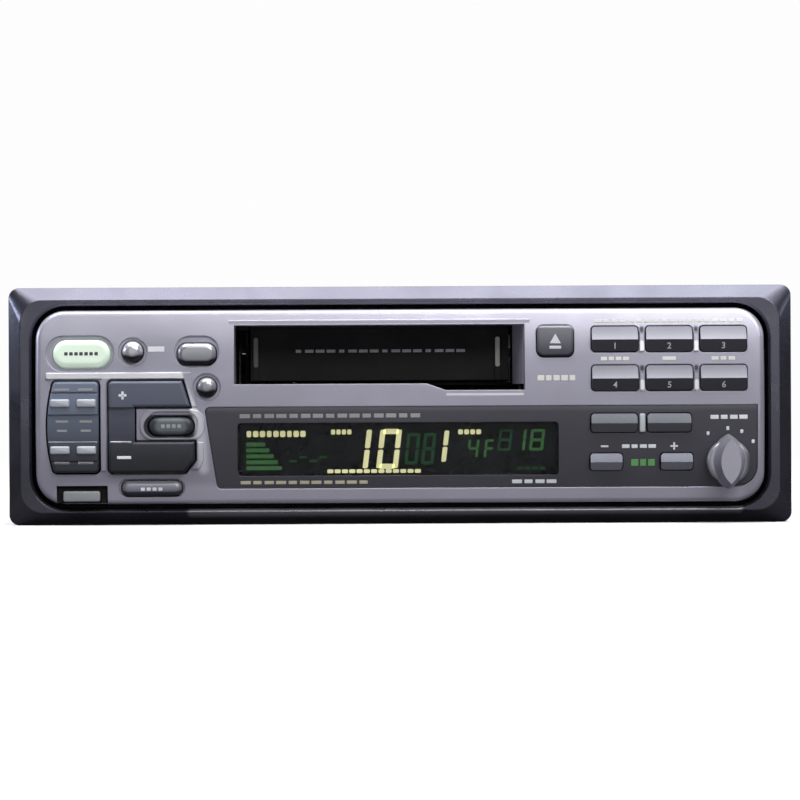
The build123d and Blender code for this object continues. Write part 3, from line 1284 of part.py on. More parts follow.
for roller_name, roller_y in (("pinch_roller_front", -CAPSTAN_HALF_PITCH), ("pinch_roller_rear", CAPSTAN_HALF_PITCH)):
    with BuildPart() as pinch_roller:
        with BuildSketch(level_at(DECK_TOP + 5.0)):
            with Locations((PINCH_X, roller_y)):
                Circle(PINCH_RADIUS)
                Circle(1.05, mode=Mode.SUBTRACT)
        extrude(amount=7.2)
        fillet(pinch_roller.faces().sort_by(Axis.Z)[-1].outer_wire().edges(), 0.5)
        # Six holes in the hub.
        with BuildSketch(level_at(DECK_TOP + 12.2)):
            with Locations((PINCH_X, roller_y)):
                with PolarLocations(2.8, 6):
                    Circle(0.5)
        extrude(amount=-1.0, mode=Mode.SUBTRACT)
    pinch_roller.part.label = roller_name
    export_step(pinch_roller.part, f"parts/{roller_name}.step")
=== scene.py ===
"""Looks of a dashboard cassette radio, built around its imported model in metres."""
import logging
import math
from dataclasses import dataclass, field, replace
from enum import Enum

import bmesh
import bpy
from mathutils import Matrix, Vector
from mathutils.bvhtree import BVHTree


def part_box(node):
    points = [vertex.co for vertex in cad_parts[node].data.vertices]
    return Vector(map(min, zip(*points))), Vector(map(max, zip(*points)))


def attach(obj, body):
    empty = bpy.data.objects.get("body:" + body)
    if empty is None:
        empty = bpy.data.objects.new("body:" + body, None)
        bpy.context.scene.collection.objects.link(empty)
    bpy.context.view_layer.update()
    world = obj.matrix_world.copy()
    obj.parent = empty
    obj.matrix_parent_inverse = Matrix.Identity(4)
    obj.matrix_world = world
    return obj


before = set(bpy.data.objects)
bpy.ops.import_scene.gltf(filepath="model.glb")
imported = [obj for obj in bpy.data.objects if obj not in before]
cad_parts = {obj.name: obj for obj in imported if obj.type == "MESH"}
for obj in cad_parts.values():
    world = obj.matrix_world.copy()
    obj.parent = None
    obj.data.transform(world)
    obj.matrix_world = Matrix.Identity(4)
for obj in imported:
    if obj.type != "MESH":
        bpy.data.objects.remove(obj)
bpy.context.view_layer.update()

logging.basicConfig(level=logging.INFO, format="%(message)s")
log = logging.getLogger("car_radio")

MM = 0.001
Color = tuple[float, float, float]


def srgb(red: int, green: int, blue: int) -> Color:
    """Scene colour of a paint that is named by its screen values.

    Args:
        red: Red, 0 to 255.
        green: Green, 0 to 255.
        blue: Blue, 0 to 255.

    Returns:
        The colour as linear values from 0 to 1.
    """
    return tuple(
        part / 12.92 if part <= 0.04045 else ((part + 0.055) / 1.055) ** 2.4
        for part in (red / 255, green / 255, blue / 255)
    )


# ---- Shader graphs ----


class Graph:
    """Adds and joins the nodes of one node tree."""

    def __init__(self, tree: bpy.types.NodeTree) -> None:
        """Starts on an empty tree."""
        self.tree = tree
        self.tree.nodes.clear()

    def add(self, kind: str, inputs: dict | None = None, **settings: object) -> bpy.types.Node:
        """Adds a node.

        Args:
            kind: The node's type without the leading ShaderNode.
            inputs: Values or sockets for its inputs, by name or number.
            **settings: Properties of the node.

        Returns:
            The new node.
        """
        node = self.tree.nodes.new(kind if kind.startswith("NodeGroup") else "ShaderNode" + kind)
        for name, value in settings.items():
            setattr(node, name, value)
        for name, value in (inputs or {}).items():
            if isinstance(value, bpy.types.NodeSocket):
                self.tree.links.new(value, node.inputs[name])
            else:
                node.inputs[name].default_value = value
        return node

    def math(self, operation: str, first: object, second: object = 0.0,
             clamp: bool = False) -> bpy.types.NodeSocket:
        """Adds a maths node and returns its result."""
        return self.add("Math", {0: first, 1: second}, operation=operation, use_clamp=clamp).outputs[0]

    def ramp(self, value: bpy.types.NodeSocket, low: float, high: float) -> bpy.types.NodeSocket:
        """Stretches a value so that low becomes 0 and high becomes 1, with soft ends."""
        limits = {0: value, 1: low, 2: high, 3: 0.0, 4: 1.0}
        return self.add("MapRange", limits, interpolation_type="SMOOTHSTEP").outputs[0]

    def mix(self, factor: object, first: object, second: object) -> bpy.types.NodeSocket:
        """Mixes two colours and returns the result."""
        node = self.add("Mix", data_type="RGBA")
        for socket, value in ((node.inputs[0], factor), (node.inputs[6], first), (node.inputs[7], second)):
            if isinstance(value, bpy.types.NodeSocket):
                self.tree.links.new(value, socket)
            else:
                socket.default_value = (*value, 1.0) if isinstance(value, tuple) else value
        return node.outputs[2]

    def place(self) -> bpy.types.NodeSocket:
        """Returns the place on the object, in metres."""
        return self.add("TexCoord").outputs["Object"]

    def noise(self, scale: object, **inputs: object) -> bpy.types.NodeSocket:
        """Returns noise of a scale, from 0 to 1."""
        return self.add("TexNoise", {"Vector": self.place(), "Scale": scale, **inputs}).outputs[0]

    def height(self) -> bpy.types.NodeSocket:
        """Returns the height on the object, in metres."""
        return self.add("SeparateXYZ", {0: self.place()}).outputs["Z"]

    def facing_down(self) -> bpy.types.NodeSocket:
        """Returns 1 on surfaces that look down and out, 0 on those that look forward or up."""
        normal = self.add("TexCoord").outputs["Normal"]
        down = self.math("MULTIPLY", self.add("SeparateXYZ", {0: normal}).outputs["Z"], -1.0)
        return self.ramp(down, 0.12, 0.4)

    def on_stroke(self, stroke: "Stroke") -> bpy.types.NodeSocket:
        """Returns 1 on a painted stroke, seen from the front, and 0 off it."""
        split = self.add("SeparateXYZ", {0: self.place()})
        flat = self.add("CombineXYZ", {"X": split.outputs["X"], "Y": 0.0, "Z": split.outputs["Z"]}).outputs[0]
        start = Vector((stroke.start[0], 0.0, stroke.start[1])) * MM
        run = Vector((stroke.end[0], 0.0, stroke.end[1])) * MM - start
        from_start = self.add("VectorMath", {0: flat, 1: start}, operation="SUBTRACT").outputs[0]
        along = self.add("VectorMath", {0: from_start, 1: run / run.length_squared}, operation="DOT_PRODUCT")
        share = self.math("MINIMUM", self.math("MAXIMUM", along.outputs["Value"], 0.0), 1.0)
        nearest = self.add("VectorMath", {0: run, "Scale": share}, operation="SCALE").outputs[0]
        away = self.add("VectorMath", {0: from_start, 1: nearest}, operation="DISTANCE").outputs["Value"]
        return self.ramp(away, (stroke.width / 2 + stroke.soft) * MM, (stroke.width / 2 - stroke.soft) * MM)


@dataclass(frozen=True)
class Stroke:
    """A stroke of painted highlight or painted shade with round ends on the front, in millimetres."""

    start: tuple[float, float]
    end: tuple[float, float]
    width: float
    color: Color
    soft: float = 0.12


class Effect(Enum):
    """Shader effects that more than one finish uses."""

    GRAIN = "fine_grain"
    WEAR = "edge_wear"
    DUST = "settled_dust"
    BRUSH = "rolled_streaks"
    SMUDGE = "handled_gloss"


class EffectShop:
    """Builds each effect's node group once."""

    def __init__(self) -> None:
        """Makes all the groups."""
        self.groups = {
            Effect.GRAIN: self._grain(),
            Effect.WEAR: self._wear(),
            Effect.DUST: self._dust(),
            Effect.BRUSH: self._brush(),
            Effect.SMUDGE: self._smudge(),
        }

    @staticmethod
    def _start(effect: Effect, name: str, usual: float) -> tuple[Graph, bpy.types.NodeSocket]:
        """Opens a group with one named number input.

        Args:
            effect: Which effect it is.
            name: The input's name.
            usual: The input's usual value.

        Returns:
            The graph and the input's socket.
        """
        tree = bpy.data.node_groups.new(effect.value, "ShaderNodeTree")
        given = tree.interface.new_socket(name, in_out="INPUT", socket_type="NodeSocketFloat")
        given.default_value = usual
        graph = Graph(tree)
        return graph, graph.add("NodeGroupInput").outputs[name]

    @staticmethod
    def _close(graph: Graph, name: str, result: bpy.types.NodeSocket) -> bpy.types.NodeTree:
        """Puts a result out of the group under a name."""
        graph.tree.interface.new_socket(name, in_out="OUTPUT", socket_type="NodeSocketFloat")
        graph.add("NodeGroupOutput", {name: result})
        return graph.tree

    def _grain(self) -> bpy.types.NodeTree:
        """Moulded grain: small soft bumps, put out as a height from 0 to 1."""
        graph, scale = self._start(Effect.GRAIN, "Scale", 3000.0)
        fine = graph.noise(scale, Detail=3.0)
        cells = graph.add("TexVoronoi", {"Vector": graph.place(), "Scale": scale}, feature="SMOOTH_F1")
        total = graph.math("ADD", fine, graph.math("MULTIPLY", cells.outputs[0], 0.6))
        return self._close(graph, "Height", total)

    def _wear(self) -> bpy.types.NodeTree:
        """Rubbed edges: 1 where an edge is close and the rubbing reached it."""
        graph, amount = self._start(Effect.WEAR, "Amount", 0.5)
        rounded = graph.add("Bevel", {"Radius": 0.00035}, samples=4).outputs[0]
        flat = graph.add("NewGeometry").outputs["Normal"]
        facing = graph.add("VectorMath", {0: rounded, 1: flat}, operation="DOT_PRODUCT").outputs["Value"]
        edge = graph.ramp(graph.math("SUBTRACT", 1.0, facing), 0.02, 0.22)
        rubbed = graph.ramp(graph.noise(190.0, Detail=4.0), 0.42, 0.68)
        mask = graph.math("MULTIPLY", graph.math("MULTIPLY", edge, rubbed), amount, clamp=True)
        return self._close(graph, "Mask", mask)

    def _dust(self) -> bpy.types.NodeTree:
        """Dust that lies on faces that look up."""
        graph, amount = self._start(Effect.DUST, "Amount", 0.3)
        up = graph.add("SeparateXYZ", {0: graph.add("NewGeometry").outputs["Normal"]}).outputs["Z"]
        patches = graph.ramp(graph.noise(60.0, Detail=6.0, Roughness=0.7), 0.35, 0.75)
        lying = graph.math("MULTIPLY", graph.ramp(up, 0.35, 0.98), patches)
        return self._close(graph, "Mask", graph.math("MULTIPLY", lying, amount, clamp=True))

    def _brush(self) -> bpy.types.NodeTree:
        """Rolling marks along the set's depth, put out as a height from 0 to 1."""
        graph, scale = self._start(Effect.BRUSH, "Scale", 900.0)
        stretched = graph.add("Mapping", {"Vector": graph.place(), "Scale": (1.0, 0.03, 1.0)}).outputs[0]
        return self._close(graph, "Height", graph.noise(scale, Vector=stretched, Detail=4.0))

    def _smudge(self) -> bpy.types.NodeTree:
        """Slow changes of gloss where hands have been, from 0 to 1."""
        graph, scale = self._start(Effect.SMUDGE, "Scale", 45.0)
        clouds = graph.noise(scale, Detail=5.0, Distortion=0.6)
        return self._close(graph, "Mask", graph.ramp(clouds, 0.3, 0.7))


# ---- Finishes ----


@dataclass(frozen=True)
class Finish:
    """A moulded or painted surface, with its grain, rubbed edges, handling marks and dust."""

    name: str
    color: Color
    roughness: float = 0.45
    metallic: float = 0.0
    coat: float = 0.0
    specular: float = 0.5
    grain_scale: float = 3200.0
    grain_depth: float = 0.00002
    variation: float = 0.12
    wear: float = 0.3
    wear_color: Color = (0.4, 0.4, 0.42)
    dust: float = 0.15
    smudge: float = 0.1
    edge_radius: float = 0.00022

    def pattern(self, graph: Graph, shop: EffectShop) -> object:
        """Colour before wear and dust: the plain colour, a little lighter or darker in places."""
        return graph.mix(self.effect(graph, shop, Effect.SMUDGE, 38.0), *self.tones(self.variation))

    def relief(self, graph: Graph, shop: EffectShop) -> bpy.types.NodeSocket:
        """Height field of the surface's own texture."""
        return self.effect(graph, shop, Effect.GRAIN, self.grain_scale)

    def shine(self, graph: Graph, shop: EffectShop, shader: bpy.types.Node) -> None:
        """Sets what is the same all over the surface."""
        shader.inputs["Specular IOR Level"].default_value = self.specular
        shader.inputs["Coat Weight"].default_value = self.coat
        shader.inputs["Coat Roughness"].default_value = 0.12

    @staticmethod
    def effect(graph: Graph, shop: EffectShop, effect: Effect, amount: float) -> bpy.types.NodeSocket:
        """Places an effect in a graph, sets its scale or amount and returns its output."""
        node = graph.add("Group", node_tree=shop.groups[effect])
        node.inputs[0].default_value = amount
        return node.outputs[0]

    def tones(self, spread: float) -> tuple[Color, Color]:
        """Returns the colour a little darker and a little lighter."""
        darker = tuple(part * (1.0 - spread) for part in self.color)
        return darker, tuple(min(1.0, part * (1.0 + spread)) for part in self.color)

    def start(self) -> tuple[bpy.types.Material, Graph, bpy.types.Node]:
        """Opens the material and returns it with its graph and its main shader."""
        made = bpy.data.materials.new(self.name)
        made.use_nodes = True
        graph = Graph(made.node_tree)
        shader = graph.add("BsdfPrincipled")
        graph.add("OutputMaterial", {"Surface": shader.outputs[0]})
        return made, graph, shader

    def material(self, shop: EffectShop) -> bpy.types.Material:
        """Builds the material.

        Args:
            shop: Where the shared effects are.

        Returns:
            The finished material.
        """
        made, graph, shader = self.start()
        worn = self.effect(graph, shop, Effect.WEAR, self.wear)
        dusty = self.effect(graph, shop, Effect.DUST, self.dust)
        color = graph.mix(worn, self.pattern(graph, shop), self.wear_color)
        color = graph.mix(dusty, color, srgb(168, 163, 152))
        smudged = graph.math("MULTIPLY", self.effect(graph, shop, Effect.SMUDGE, 70.0), self.smudge)
        rough = graph.math("ADD", self.roughness - self.smudge / 2, smudged)
        rough = graph.math("ADD", rough, graph.math("MULTIPLY", dusty, 0.4), clamp=True)
        metal = graph.math("MULTIPLY", graph.math("SUBTRACT", 1.0, dusty), self.metallic)
        rounded = graph.add("Bevel", {"Radius": self.edge_radius}, samples=4).outputs[0]
        relief = {"Height": self.relief(graph, shop), "Distance": self.grain_depth, "Strength": 1.0}
        bump = graph.add("Bump", {**relief, "Normal": rounded}).outputs[0]
        looks = {"Base Color": color, "Roughness": rough, "Metallic": metal, "Normal": bump}
        for name, socket in looks.items():
            graph.tree.links.new(socket, shader.inputs[name])
        self.shine(graph, shop, shader)
        made.diffuse_color = (*self.color, 1.0)
        return made


@dataclass(frozen=True)
class FadedFinish(Finish):
    """Paint with light and shade painted on: another colour towards the top for how light falls there, and
    another colour on slopes that look down for their shade (lighter on some keys).
    """

    # Painted shading: the colour at the head stands for how light falls on the top, and the one under for how
    # it falls on slopes that look down.
    head_color: Color | None = None
    foot: float = 0.0
    head: float = 0.01
    under: Color | None = None

    def pattern(self, graph: Graph, shop: EffectShop) -> object:
        """Plain colour at the foot, the painted top shading at the head, and the painted slope shade on faces
        that look down.
        """
        color = super().pattern(graph, shop)
        if self.head_color:
            color = graph.mix(graph.ramp(graph.height(), self.foot, self.head), color, self.head_color)
        if self.under:
            color = graph.mix(graph.facing_down(), color, self.under)
        return color

    def across(self, *nodes: str) -> "FadedFinish":
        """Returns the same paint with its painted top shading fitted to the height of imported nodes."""
        boxes = [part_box(node) for node in nodes]
        return replace(self, name=f"{self.name}_{nodes[0]}", foot=min(low.z for low, _ in boxes),
                       head=max(high.z for _, high in boxes))


@dataclass(frozen=True)
class StrokedFinish(FadedFinish):
    """Paint with painted highlights and painted shade laid over it as strokes."""

    strokes: tuple[Stroke, ...] = ()

    def pattern(self, graph: Graph, shop: EffectShop) -> object:
        """Plain colour with the painted highlight and shade strokes over it."""
        color = super().pattern(graph, shop)
        for stroke in self.strokes:
            color = graph.mix(graph.on_stroke(stroke), color, stroke.color)
        return color


@dataclass(frozen=True)
class RolledFinish(Finish):
    """Sheet metal: rolling streaks and the faint spangle of its zinc."""

    spangle: float = 0.1

    def pattern(self, graph: Graph, shop: EffectShop) -> object:
        """Zinc crystals of slightly different tones over the streaks."""
        crystals = graph.add("TexVoronoi", {"Vector": graph.place(), "Scale": 320.0, "Randomness": 1.0})
        tone = graph.add("SeparateXYZ", {0: crystals.outputs["Color"]}).outputs["X"]
        streaks = self.effect(graph, shop, Effect.BRUSH, 700.0)
        both = graph.math("ADD", graph.math("MULTIPLY", tone, 0.5), graph.math("MULTIPLY", streaks, 0.7))
        return graph.mix(both, *self.tones(self.spangle))

    def relief(self, graph: Graph, shop: EffectShop) -> bpy.types.NodeSocket:
        """Height of the rolling streaks."""
        return self.effect(graph, shop, Effect.BRUSH, 900.0)


@dataclass(frozen=True)
class BoardFinish(Finish):
    """Circuit board: tracks under the resist and a scatter of solder points."""

    def pattern(self, graph: Graph, shop: EffectShop) -> object:
        """Lighter tracks in a right-angled maze, with bright points."""
        tracks = graph.add(
            "TexBrick",
            {"Vector": graph.place(), "Scale": 170.0, "Mortar Size": 0.012, "Color1": (*self.color, 1.0),
             "Color2": (*(part * 0.75 for part in self.color), 1.0),
             "Mortar": (*(part * 2.2 for part in self.color), 1.0)},
        )
        points = graph.add("TexVoronoi", {"Vector": graph.place(), "Scale": 260.0})
        solder = graph.ramp(graph.math("SUBTRACT", 0.16, points.outputs["Distance"]), 0.0, 0.05)
        return graph.mix(solder, tracks.outputs[0], (0.6, 0.6, 0.58))


@dataclass(frozen=True)
class ClearFinish(Finish):
    """Smoked clear plastic."""

    def shine(self, graph: Graph, shop: EffectShop, shader: bpy.types.Node) -> None:
        """Lets light through, bent only a little, because the pane is thin."""
        super().shine(graph, shop, shader)
        shader.inputs["Transmission Weight"].default_value = 1.0
        shader.inputs["IOR"].default_value = 1.12
        shader.inputs["Metallic"].default_value = 0.0

    def material(self, shop: EffectShop) -> bpy.types.Material:
        """Builds the clear material: its gloss and tint change a little over the surface."""
        made, graph, shader = self.start()
        smudged = self.effect(graph, shop, Effect.SMUDGE, 60.0)
        rough = graph.math("ADD", self.roughness, graph.math("MULTIPLY", smudged, 0.03))
        tint = graph.mix(smudged, self.color, tuple(part * 0.93 for part in self.color))
        graph.tree.links.new(rough, shader.inputs["Roughness"])
        graph.tree.links.new(tint, shader.inputs["Base Color"])
        self.shine(graph, shop, shader)
        return made


@dataclass(frozen=True)
class GlowFinish(Finish):
    """A surface lit from behind, a little brighter in places."""

    glow: Color = (0.5, 0.5, 0.5)
    strength: float = 1.0

    def shine(self, graph: Graph, shop: EffectShop, shader: bpy.types.Node) -> None:
        """Adds an uneven glow to the plain finish."""
        super().shine(graph, shop, shader)
        dimmer = tuple(part * 0.8 for part in self.glow)
        lit = graph.mix(self.effect(graph, shop, Effect.SMUDGE, 55.0), dimmer, self.glow)
        graph.tree.links.new(lit, shader.inputs["Emission Color"])
        shader.inputs["Emission Strength"].default_value = self.strength


class Palette:
    """All the finishes of the set, each made a material once."""

    def __init__(self) -> None:
        """Builds the shared effects."""
        self.shop = EffectShop()
        self.made: dict[str, bpy.types.Material] = {}

    def get(self, finish: Finish) -> bpy.types.Material:
        """Returns the material of a finish, made when it is first asked for."""
        if finish.name not in self.made:
            self.made[finish.name] = finish.material(self.shop)
        return self.made[finish.name]

    def dress(self, finish: Finish, *nodes: str) -> None:
        """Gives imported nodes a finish."""
        for name in nodes:
            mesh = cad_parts[name].data
            mesh.materials.clear()
            mesh.materials.append(self.get(finish))
            log.info("dressed %s in %s", name, finish.name)


# ---- Making new pieces ----


class Axis(Enum):
    """The direction that a block's rounded edges run in."""

    DEPTH = 1
    HEIGHT = 2


@dataclass
class Workshop:
    """Makes small pieces with Blender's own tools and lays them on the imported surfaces."""

    palette: Palette
    ray_start: float = -0.5
    sink: float = 0.00012
    thickness: float = 0.0002
    trees: dict[str, BVHTree] = field(default_factory=dict)
    blocks: dict[tuple, bpy.types.Mesh] = field(default_factory=dict)

    def clear_selection(self) -> None:
        """Deselects everything."""
        bpy.ops.object.select_all(action="DESELECT")

    def pick(self, *pieces: bpy.types.Object) -> None:
        """Selects pieces and nothing else, with the first one active."""
        self.clear_selection()
        for piece in pieces:
            piece.select_set(True)
        bpy.context.view_layer.objects.active = pieces[0]

    def apply(self, piece: bpy.types.Object) -> None:
        """Moves a piece's place, turn and scale into its mesh."""
        self.pick(piece)
        bpy.ops.object.transform_apply(location=True, rotation=True, scale=True)

    def surface_y(self, node: str, x: float, z: float) -> float | None:
        """Finds where a line from the front along the set's depth meets a node.

        Args:
            node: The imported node.
            x: Place across the set, metres.
            z: Height, metres.

        Returns:
            The depth of the first hit, or None.
        """
        if node not in self.trees:
            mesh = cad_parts[node].data
            mesh.calc_loop_triangles()
            self.trees[node] = BVHTree.FromPolygons(
                [vertex.co.copy() for vertex in mesh.vertices],
                [tuple(triangle.vertices) for triangle in mesh.loop_triangles],
            )
        hit = self.trees[node].ray_cast(Vector((x, self.ray_start, z)), Vector((0.0, 1.0, 0.0)))
        return hit[0].y if hit[0] else None

    def block(self, size: tuple[float, float, float], corner: float, round_front: float, axis: Axis,
              segments: int) -> bpy.types.Mesh:
        """Models a block round the origin, as the pattern that its copies are made from.

        Args:
            size: Width, depth and height, metres.
            corner: Radius of the outline's corners, metres.
            round_front: Width of the bevel round the front face, metres.
            axis: Direction that the rounded edges run in.
            segments: Steps in each rounded corner.

        Returns:
            The block's mesh.
        """
        self.clear_selection()
        bpy.ops.mesh.primitive_cube_add(size=1.0, location=(0.0, 0.0, 0.0))
        pattern = bpy.context.object
        pattern.scale = size
        self.apply(pattern)
        bpy.ops.object.mode_set(mode="EDIT")
        shape = bmesh.from_edit_mesh(pattern.data)
        for face in shape.faces:
            face.select_set(False)
        for edge in shape.edges:
            run = edge.verts[0].co - edge.verts[1].co
            edge.select_set(abs(run[axis.value]) > 0.9 * run.length)
        bmesh.update_edit_mesh(pattern.data)
        if corner > 0.0:
            bpy.ops.mesh.bevel(offset=corner, segments=segments, affect="EDGES")
        if round_front > 0.0:
            shape = bmesh.from_edit_mesh(pattern.data)
            for edge in shape.edges:
                edge.select_set(all(abs(vertex.co.y + size[1] / 2) < 1e-6 for vertex in edge.verts))
            bmesh.update_edit_mesh(pattern.data)
            bpy.ops.mesh.bevel(offset=round_front, segments=segments, affect="EDGES")
        bpy.ops.object.mode_set(mode="OBJECT")
        mesh = pattern.data.copy()
        bpy.ops.object.delete()
        return mesh

    def slab(self, name: str, place: tuple[float, float, float], size: tuple[float, float, float],
             corner: float = 0.0, round_front: float = 0.0, axis: Axis = Axis.DEPTH,
             segments: int = 4) -> bpy.types.Object:
        """Makes a block with a rounded outline. Equal blocks are modelled once and copied.

        Args:
            name: The piece's name.
            place: Its centre, metres.
            size: Width, depth and height, metres.
            corner: Radius of the outline's corners, metres.
            round_front: Width of the bevel round the front face, metres.
            axis: Direction that the rounded edges run in.
            segments: Steps in each rounded corner.

        Returns:
            The new piece, with a mesh of its own.
        """
        kind = (size, corner, round_front, axis, segments)
        if kind not in self.blocks:
            self.blocks[kind] = self.block(*kind)
        piece = bpy.data.objects.new(name, self.blocks[kind].copy())
        bpy.context.scene.collection.objects.link(piece)
        piece.location = place
        self.apply(piece)
        return piece

    def clear_blocks(self) -> None:
        """Removes the patterns when all copies are made."""
        for mesh in self.blocks.values():
            bpy.data.meshes.remove(mesh)
        self.blocks.clear()

    def lay(self, piece: bpy.types.Object, node: str, height: float) -> None:
        """Bends a thin mark so that it lies on a node's front.

        Args:
            piece: The mark. Its own depth only tells its outer face from its inner one.
            node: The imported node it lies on.
            height: How far its outer face stands off the surface, metres.
        """
        vertices = piece.data.vertices
        centre = sum(vertex.co.y for vertex in vertices) / len(vertices)
        last = None
        for vertex in vertices:
            found = self.surface_y(node, vertex.co.x, vertex.co.z)
            last = last if found is None else found
            if last is not None:
                vertex.co.y = last - height if vertex.co.y < centre else last + self.sink

    def settle(self, piece: bpy.types.Object, finish: Finish, body: str, slot: str,
               smooth: bool = False) -> None:
        """Dresses a finished piece and hands it to the frame.

        Args:
            piece: The piece.
            finish: Its finish.
            body: The body that it rides on.
            slot: The record's material slot; not used.
            smooth: Whether its round parts are shaded smooth.
        """
        self.apply(piece)
        if smooth:
            bpy.ops.object.shade_smooth_by_angle(angle=math.radians(35))
        piece.data.materials.clear()
        piece.data.materials.append(self.palette.get(finish))
        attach(piece, body)
        log.info("made %s, %d faces, on %s", piece.name, len(piece.data.polygons), body)

    def unite(self, name: str, pieces: list[bpy.types.Object], finish: Finish, body: str, slot: str,
              smooth: bool = False) -> None:
        """Joins pieces into one, names it and settles it.

        Args:
            name: The name of the whole.
            pieces: What it is joined from.
            finish: Its finish.
            body: The body that it rides on.
            slot: The record's material slot.
            smooth: Whether its round parts are shaded smooth.
        """
        self.pick(*pieces)
        if len(pieces) > 1:
            bpy.ops.object.join()
        joined = bpy.context.object
        joined.name = name
        joined.data.name = name
        self.settle(joined, finish, body, slot, smooth)

    def bar(self, node: str, x: float, z: float, width: float, height: float, corner: float = 0.25,
            lift: float = 0.05) -> bpy.types.Object:
        """Makes a thin rounded bar on a node's front, with sizes in millimetres.

        Args:
            node: The node under it.
            x: Centre across the set, mm.
            z: Centre height, mm.
            width: Width, mm.
            height: Height, mm.
            corner: Corner radius, mm.
            lift: How far it stands off, mm.

        Returns:
            The bar.
        """
        corner = min(corner, 0.45 * min(width, height))
        size = (width * MM, self.thickness, height * MM)
        piece = self.slab("bar", (x * MM, 0.0, z * MM), size, corner * MM)
        self.lay(piece, node, lift * MM)
        return piece

    def row(self, node: str, place: tuple[float, float], size: tuple[float, float], count: int,
            shares: tuple[float, ...], corner: float = 0.12) -> list[bpy.types.Object]:
        """Makes a row of small bars that stands for a line of lettering, in millimetres.

        Args:
            node: The node under it.
            place: Its centre across the set and its height, mm.
            size: Whole width, and height of the bars, mm.
            count: How many bars.
            shares: Widths of the bars as shares of their pitch, taken in turn.
            corner: Corner radius, mm.

        Returns:
            The bars.
        """
        pitch = size[0] / count
        return [
            self.bar(node, place[0] + (step - (count - 1) / 2) * pitch, place[1],
                     pitch * shares[step % len(shares)], size[1], corner)
            for step in range(count)
        ]

    def text(self, words: str, node: str, x: float, z: float, height: float,
             lift: float = 0.05) -> bpy.types.Object:
        """Makes a raised figure on a node's front, with sizes in millimetres."""
        self.clear_selection()
        bpy.ops.object.text_add(location=(0.0, 0.0, 0.0))
        sign = bpy.context.object
        sign.data.body = words
        sign.data.align_x = "CENTER"
        sign.data.align_y = "CENTER"
        sign.data.size = 1.38 * height * MM
        sign.data.offset = 0.02 * height * MM
        sign.data.extrude = 0.0001
        sign.data.resolution_u = 3
        bpy.ops.object.convert(target="MESH")
        sign.rotation_euler = (math.radians(90), 0.0, 0.0)
        sign.location = (x * MM, 0.0, z * MM)
        self.apply(sign)
        self.lay(sign, node, lift * MM)
        return sign


def middle(node: str) -> tuple[float, float]:
    """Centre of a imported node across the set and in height, in millimetres."""
    low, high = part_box(node)
    return (low.x + high.x) / 2 / MM, (low.z + high.z) / 2 / MM


# ---- Finishes of this set ----


def printed(name: str, color: Color, worn: Color) -> Finish:
    """Returns printed ink with its worn colour."""
    return Finish(f"printed_{name}", color, roughness=0.5, grain_scale=9000.0, grain_depth=0.000004,
                  wear=0.2, wear_color=worn, dust=0.02)


def segment(name: str, color: Color, glow: Color, strength: float) -> GlowFinish:
    """Returns a display segment that is lit from behind."""
    return GlowFinish(f"segment_{name}", color, roughness=0.5, grain_depth=0.0, wear=0.0, dust=0.0,
                      glow=glow, strength=strength)


def recolored(base: FadedFinish, name: str, color: Color, head: Color,
              under: Color | None = None) -> FadedFinish:
    """Returns the same surface in other colours and other painted top shading, with the base's painted slope
    shade if none is given.
    """
    return replace(base, name=name, color=color, head_color=head, under=under or base.under)


# Dark satin ring; its lighter colour towards the top is a painted highlight.
RING = StrokedFinish("ring_satin", srgb(74, 73, 82), roughness=0.3, metallic=0.95, grain_scale=2600.0,
                     grain_depth=0.000008, wear=0.2, wear_color=srgb(150, 150, 160), dust=0.06,
                     head_color=srgb(99, 99, 111))
# Silver paint of the face; the lighter colour towards the top is a painted highlight.
SILVER = StrokedFinish("silver_lilac_paint", srgb(167, 165, 180), roughness=0.36, metallic=0.55,
                       grain_scale=5200.0, grain_depth=0.000008, variation=0.04, wear=0.3,
                       wear_color=srgb(205, 205, 212), dust=0.04, edge_radius=0.0003,
                       head_color=srgb(189, 187, 201), foot=0.0405, head=0.0500)
# Silver key paint: lighter towards the top as a painted highlight, darker on slopes that look down as painted
# shade; the dome's copy has a whiter painted highlight.
KEY_SILVER = FadedFinish("key_silver_paint", srgb(118, 118, 128), roughness=0.28, metallic=0.6,
                         grain_scale=5200.0, grain_depth=0.000005, variation=0.04, wear=0.15,
                         wear_color=srgb(225, 225, 230), dust=0.02, head_color=srgb(190, 190, 197),
                         under=srgb(32, 32, 38))
DOME_SILVER = recolored(KEY_SILVER, "dome_silver_paint", srgb(140, 140, 150), srgb(232, 232, 238))
KNOB_SILVER = StrokedFinish("knob_silver_paint", srgb(168, 167, 178), roughness=0.32, metallic=0.55,
                            grain_depth=0.000005, variation=0.05, wear=0.15,
                            wear_color=srgb(225, 225, 230), dust=0.02)
# One satin key paint in several tones: partly the keys' own colours, partly lit and shaded copies, each with
# painted top shading and a painted colour on slopes that look down.
KEY_GREY = FadedFinish("key_grey_satin", srgb(166, 165, 175), roughness=0.36, metallic=0.45,
                       grain_scale=4200.0, grain_depth=0.000006, variation=0.05, wear=0.2,
                       wear_color=srgb(165, 165, 175), dust=0.03, head_color=srgb(106, 106, 116),
                       under=srgb(72, 71, 80))
KEY_BLUISH = recolored(KEY_GREY, "key_bluish_satin", srgb(92, 93, 104), srgb(120, 122, 134),
                       under=srgb(140, 141, 154))
KEY_DUSKY = recolored(KEY_GREY, "key_dusky_satin", srgb(70, 71, 78), srgb(100, 103, 110),
                      under=srgb(100, 101, 108))
KEY_FLAT = recolored(KEY_GREY, "key_flat_satin", srgb(66, 66, 79), srgb(138, 138, 146),
                     under=srgb(44, 44, 52))
KEY_SHADED = recolored(KEY_GREY, "key_shaded_satin", srgb(92, 94, 112), srgb(170, 170, 180),
                       under=srgb(60, 62, 76))
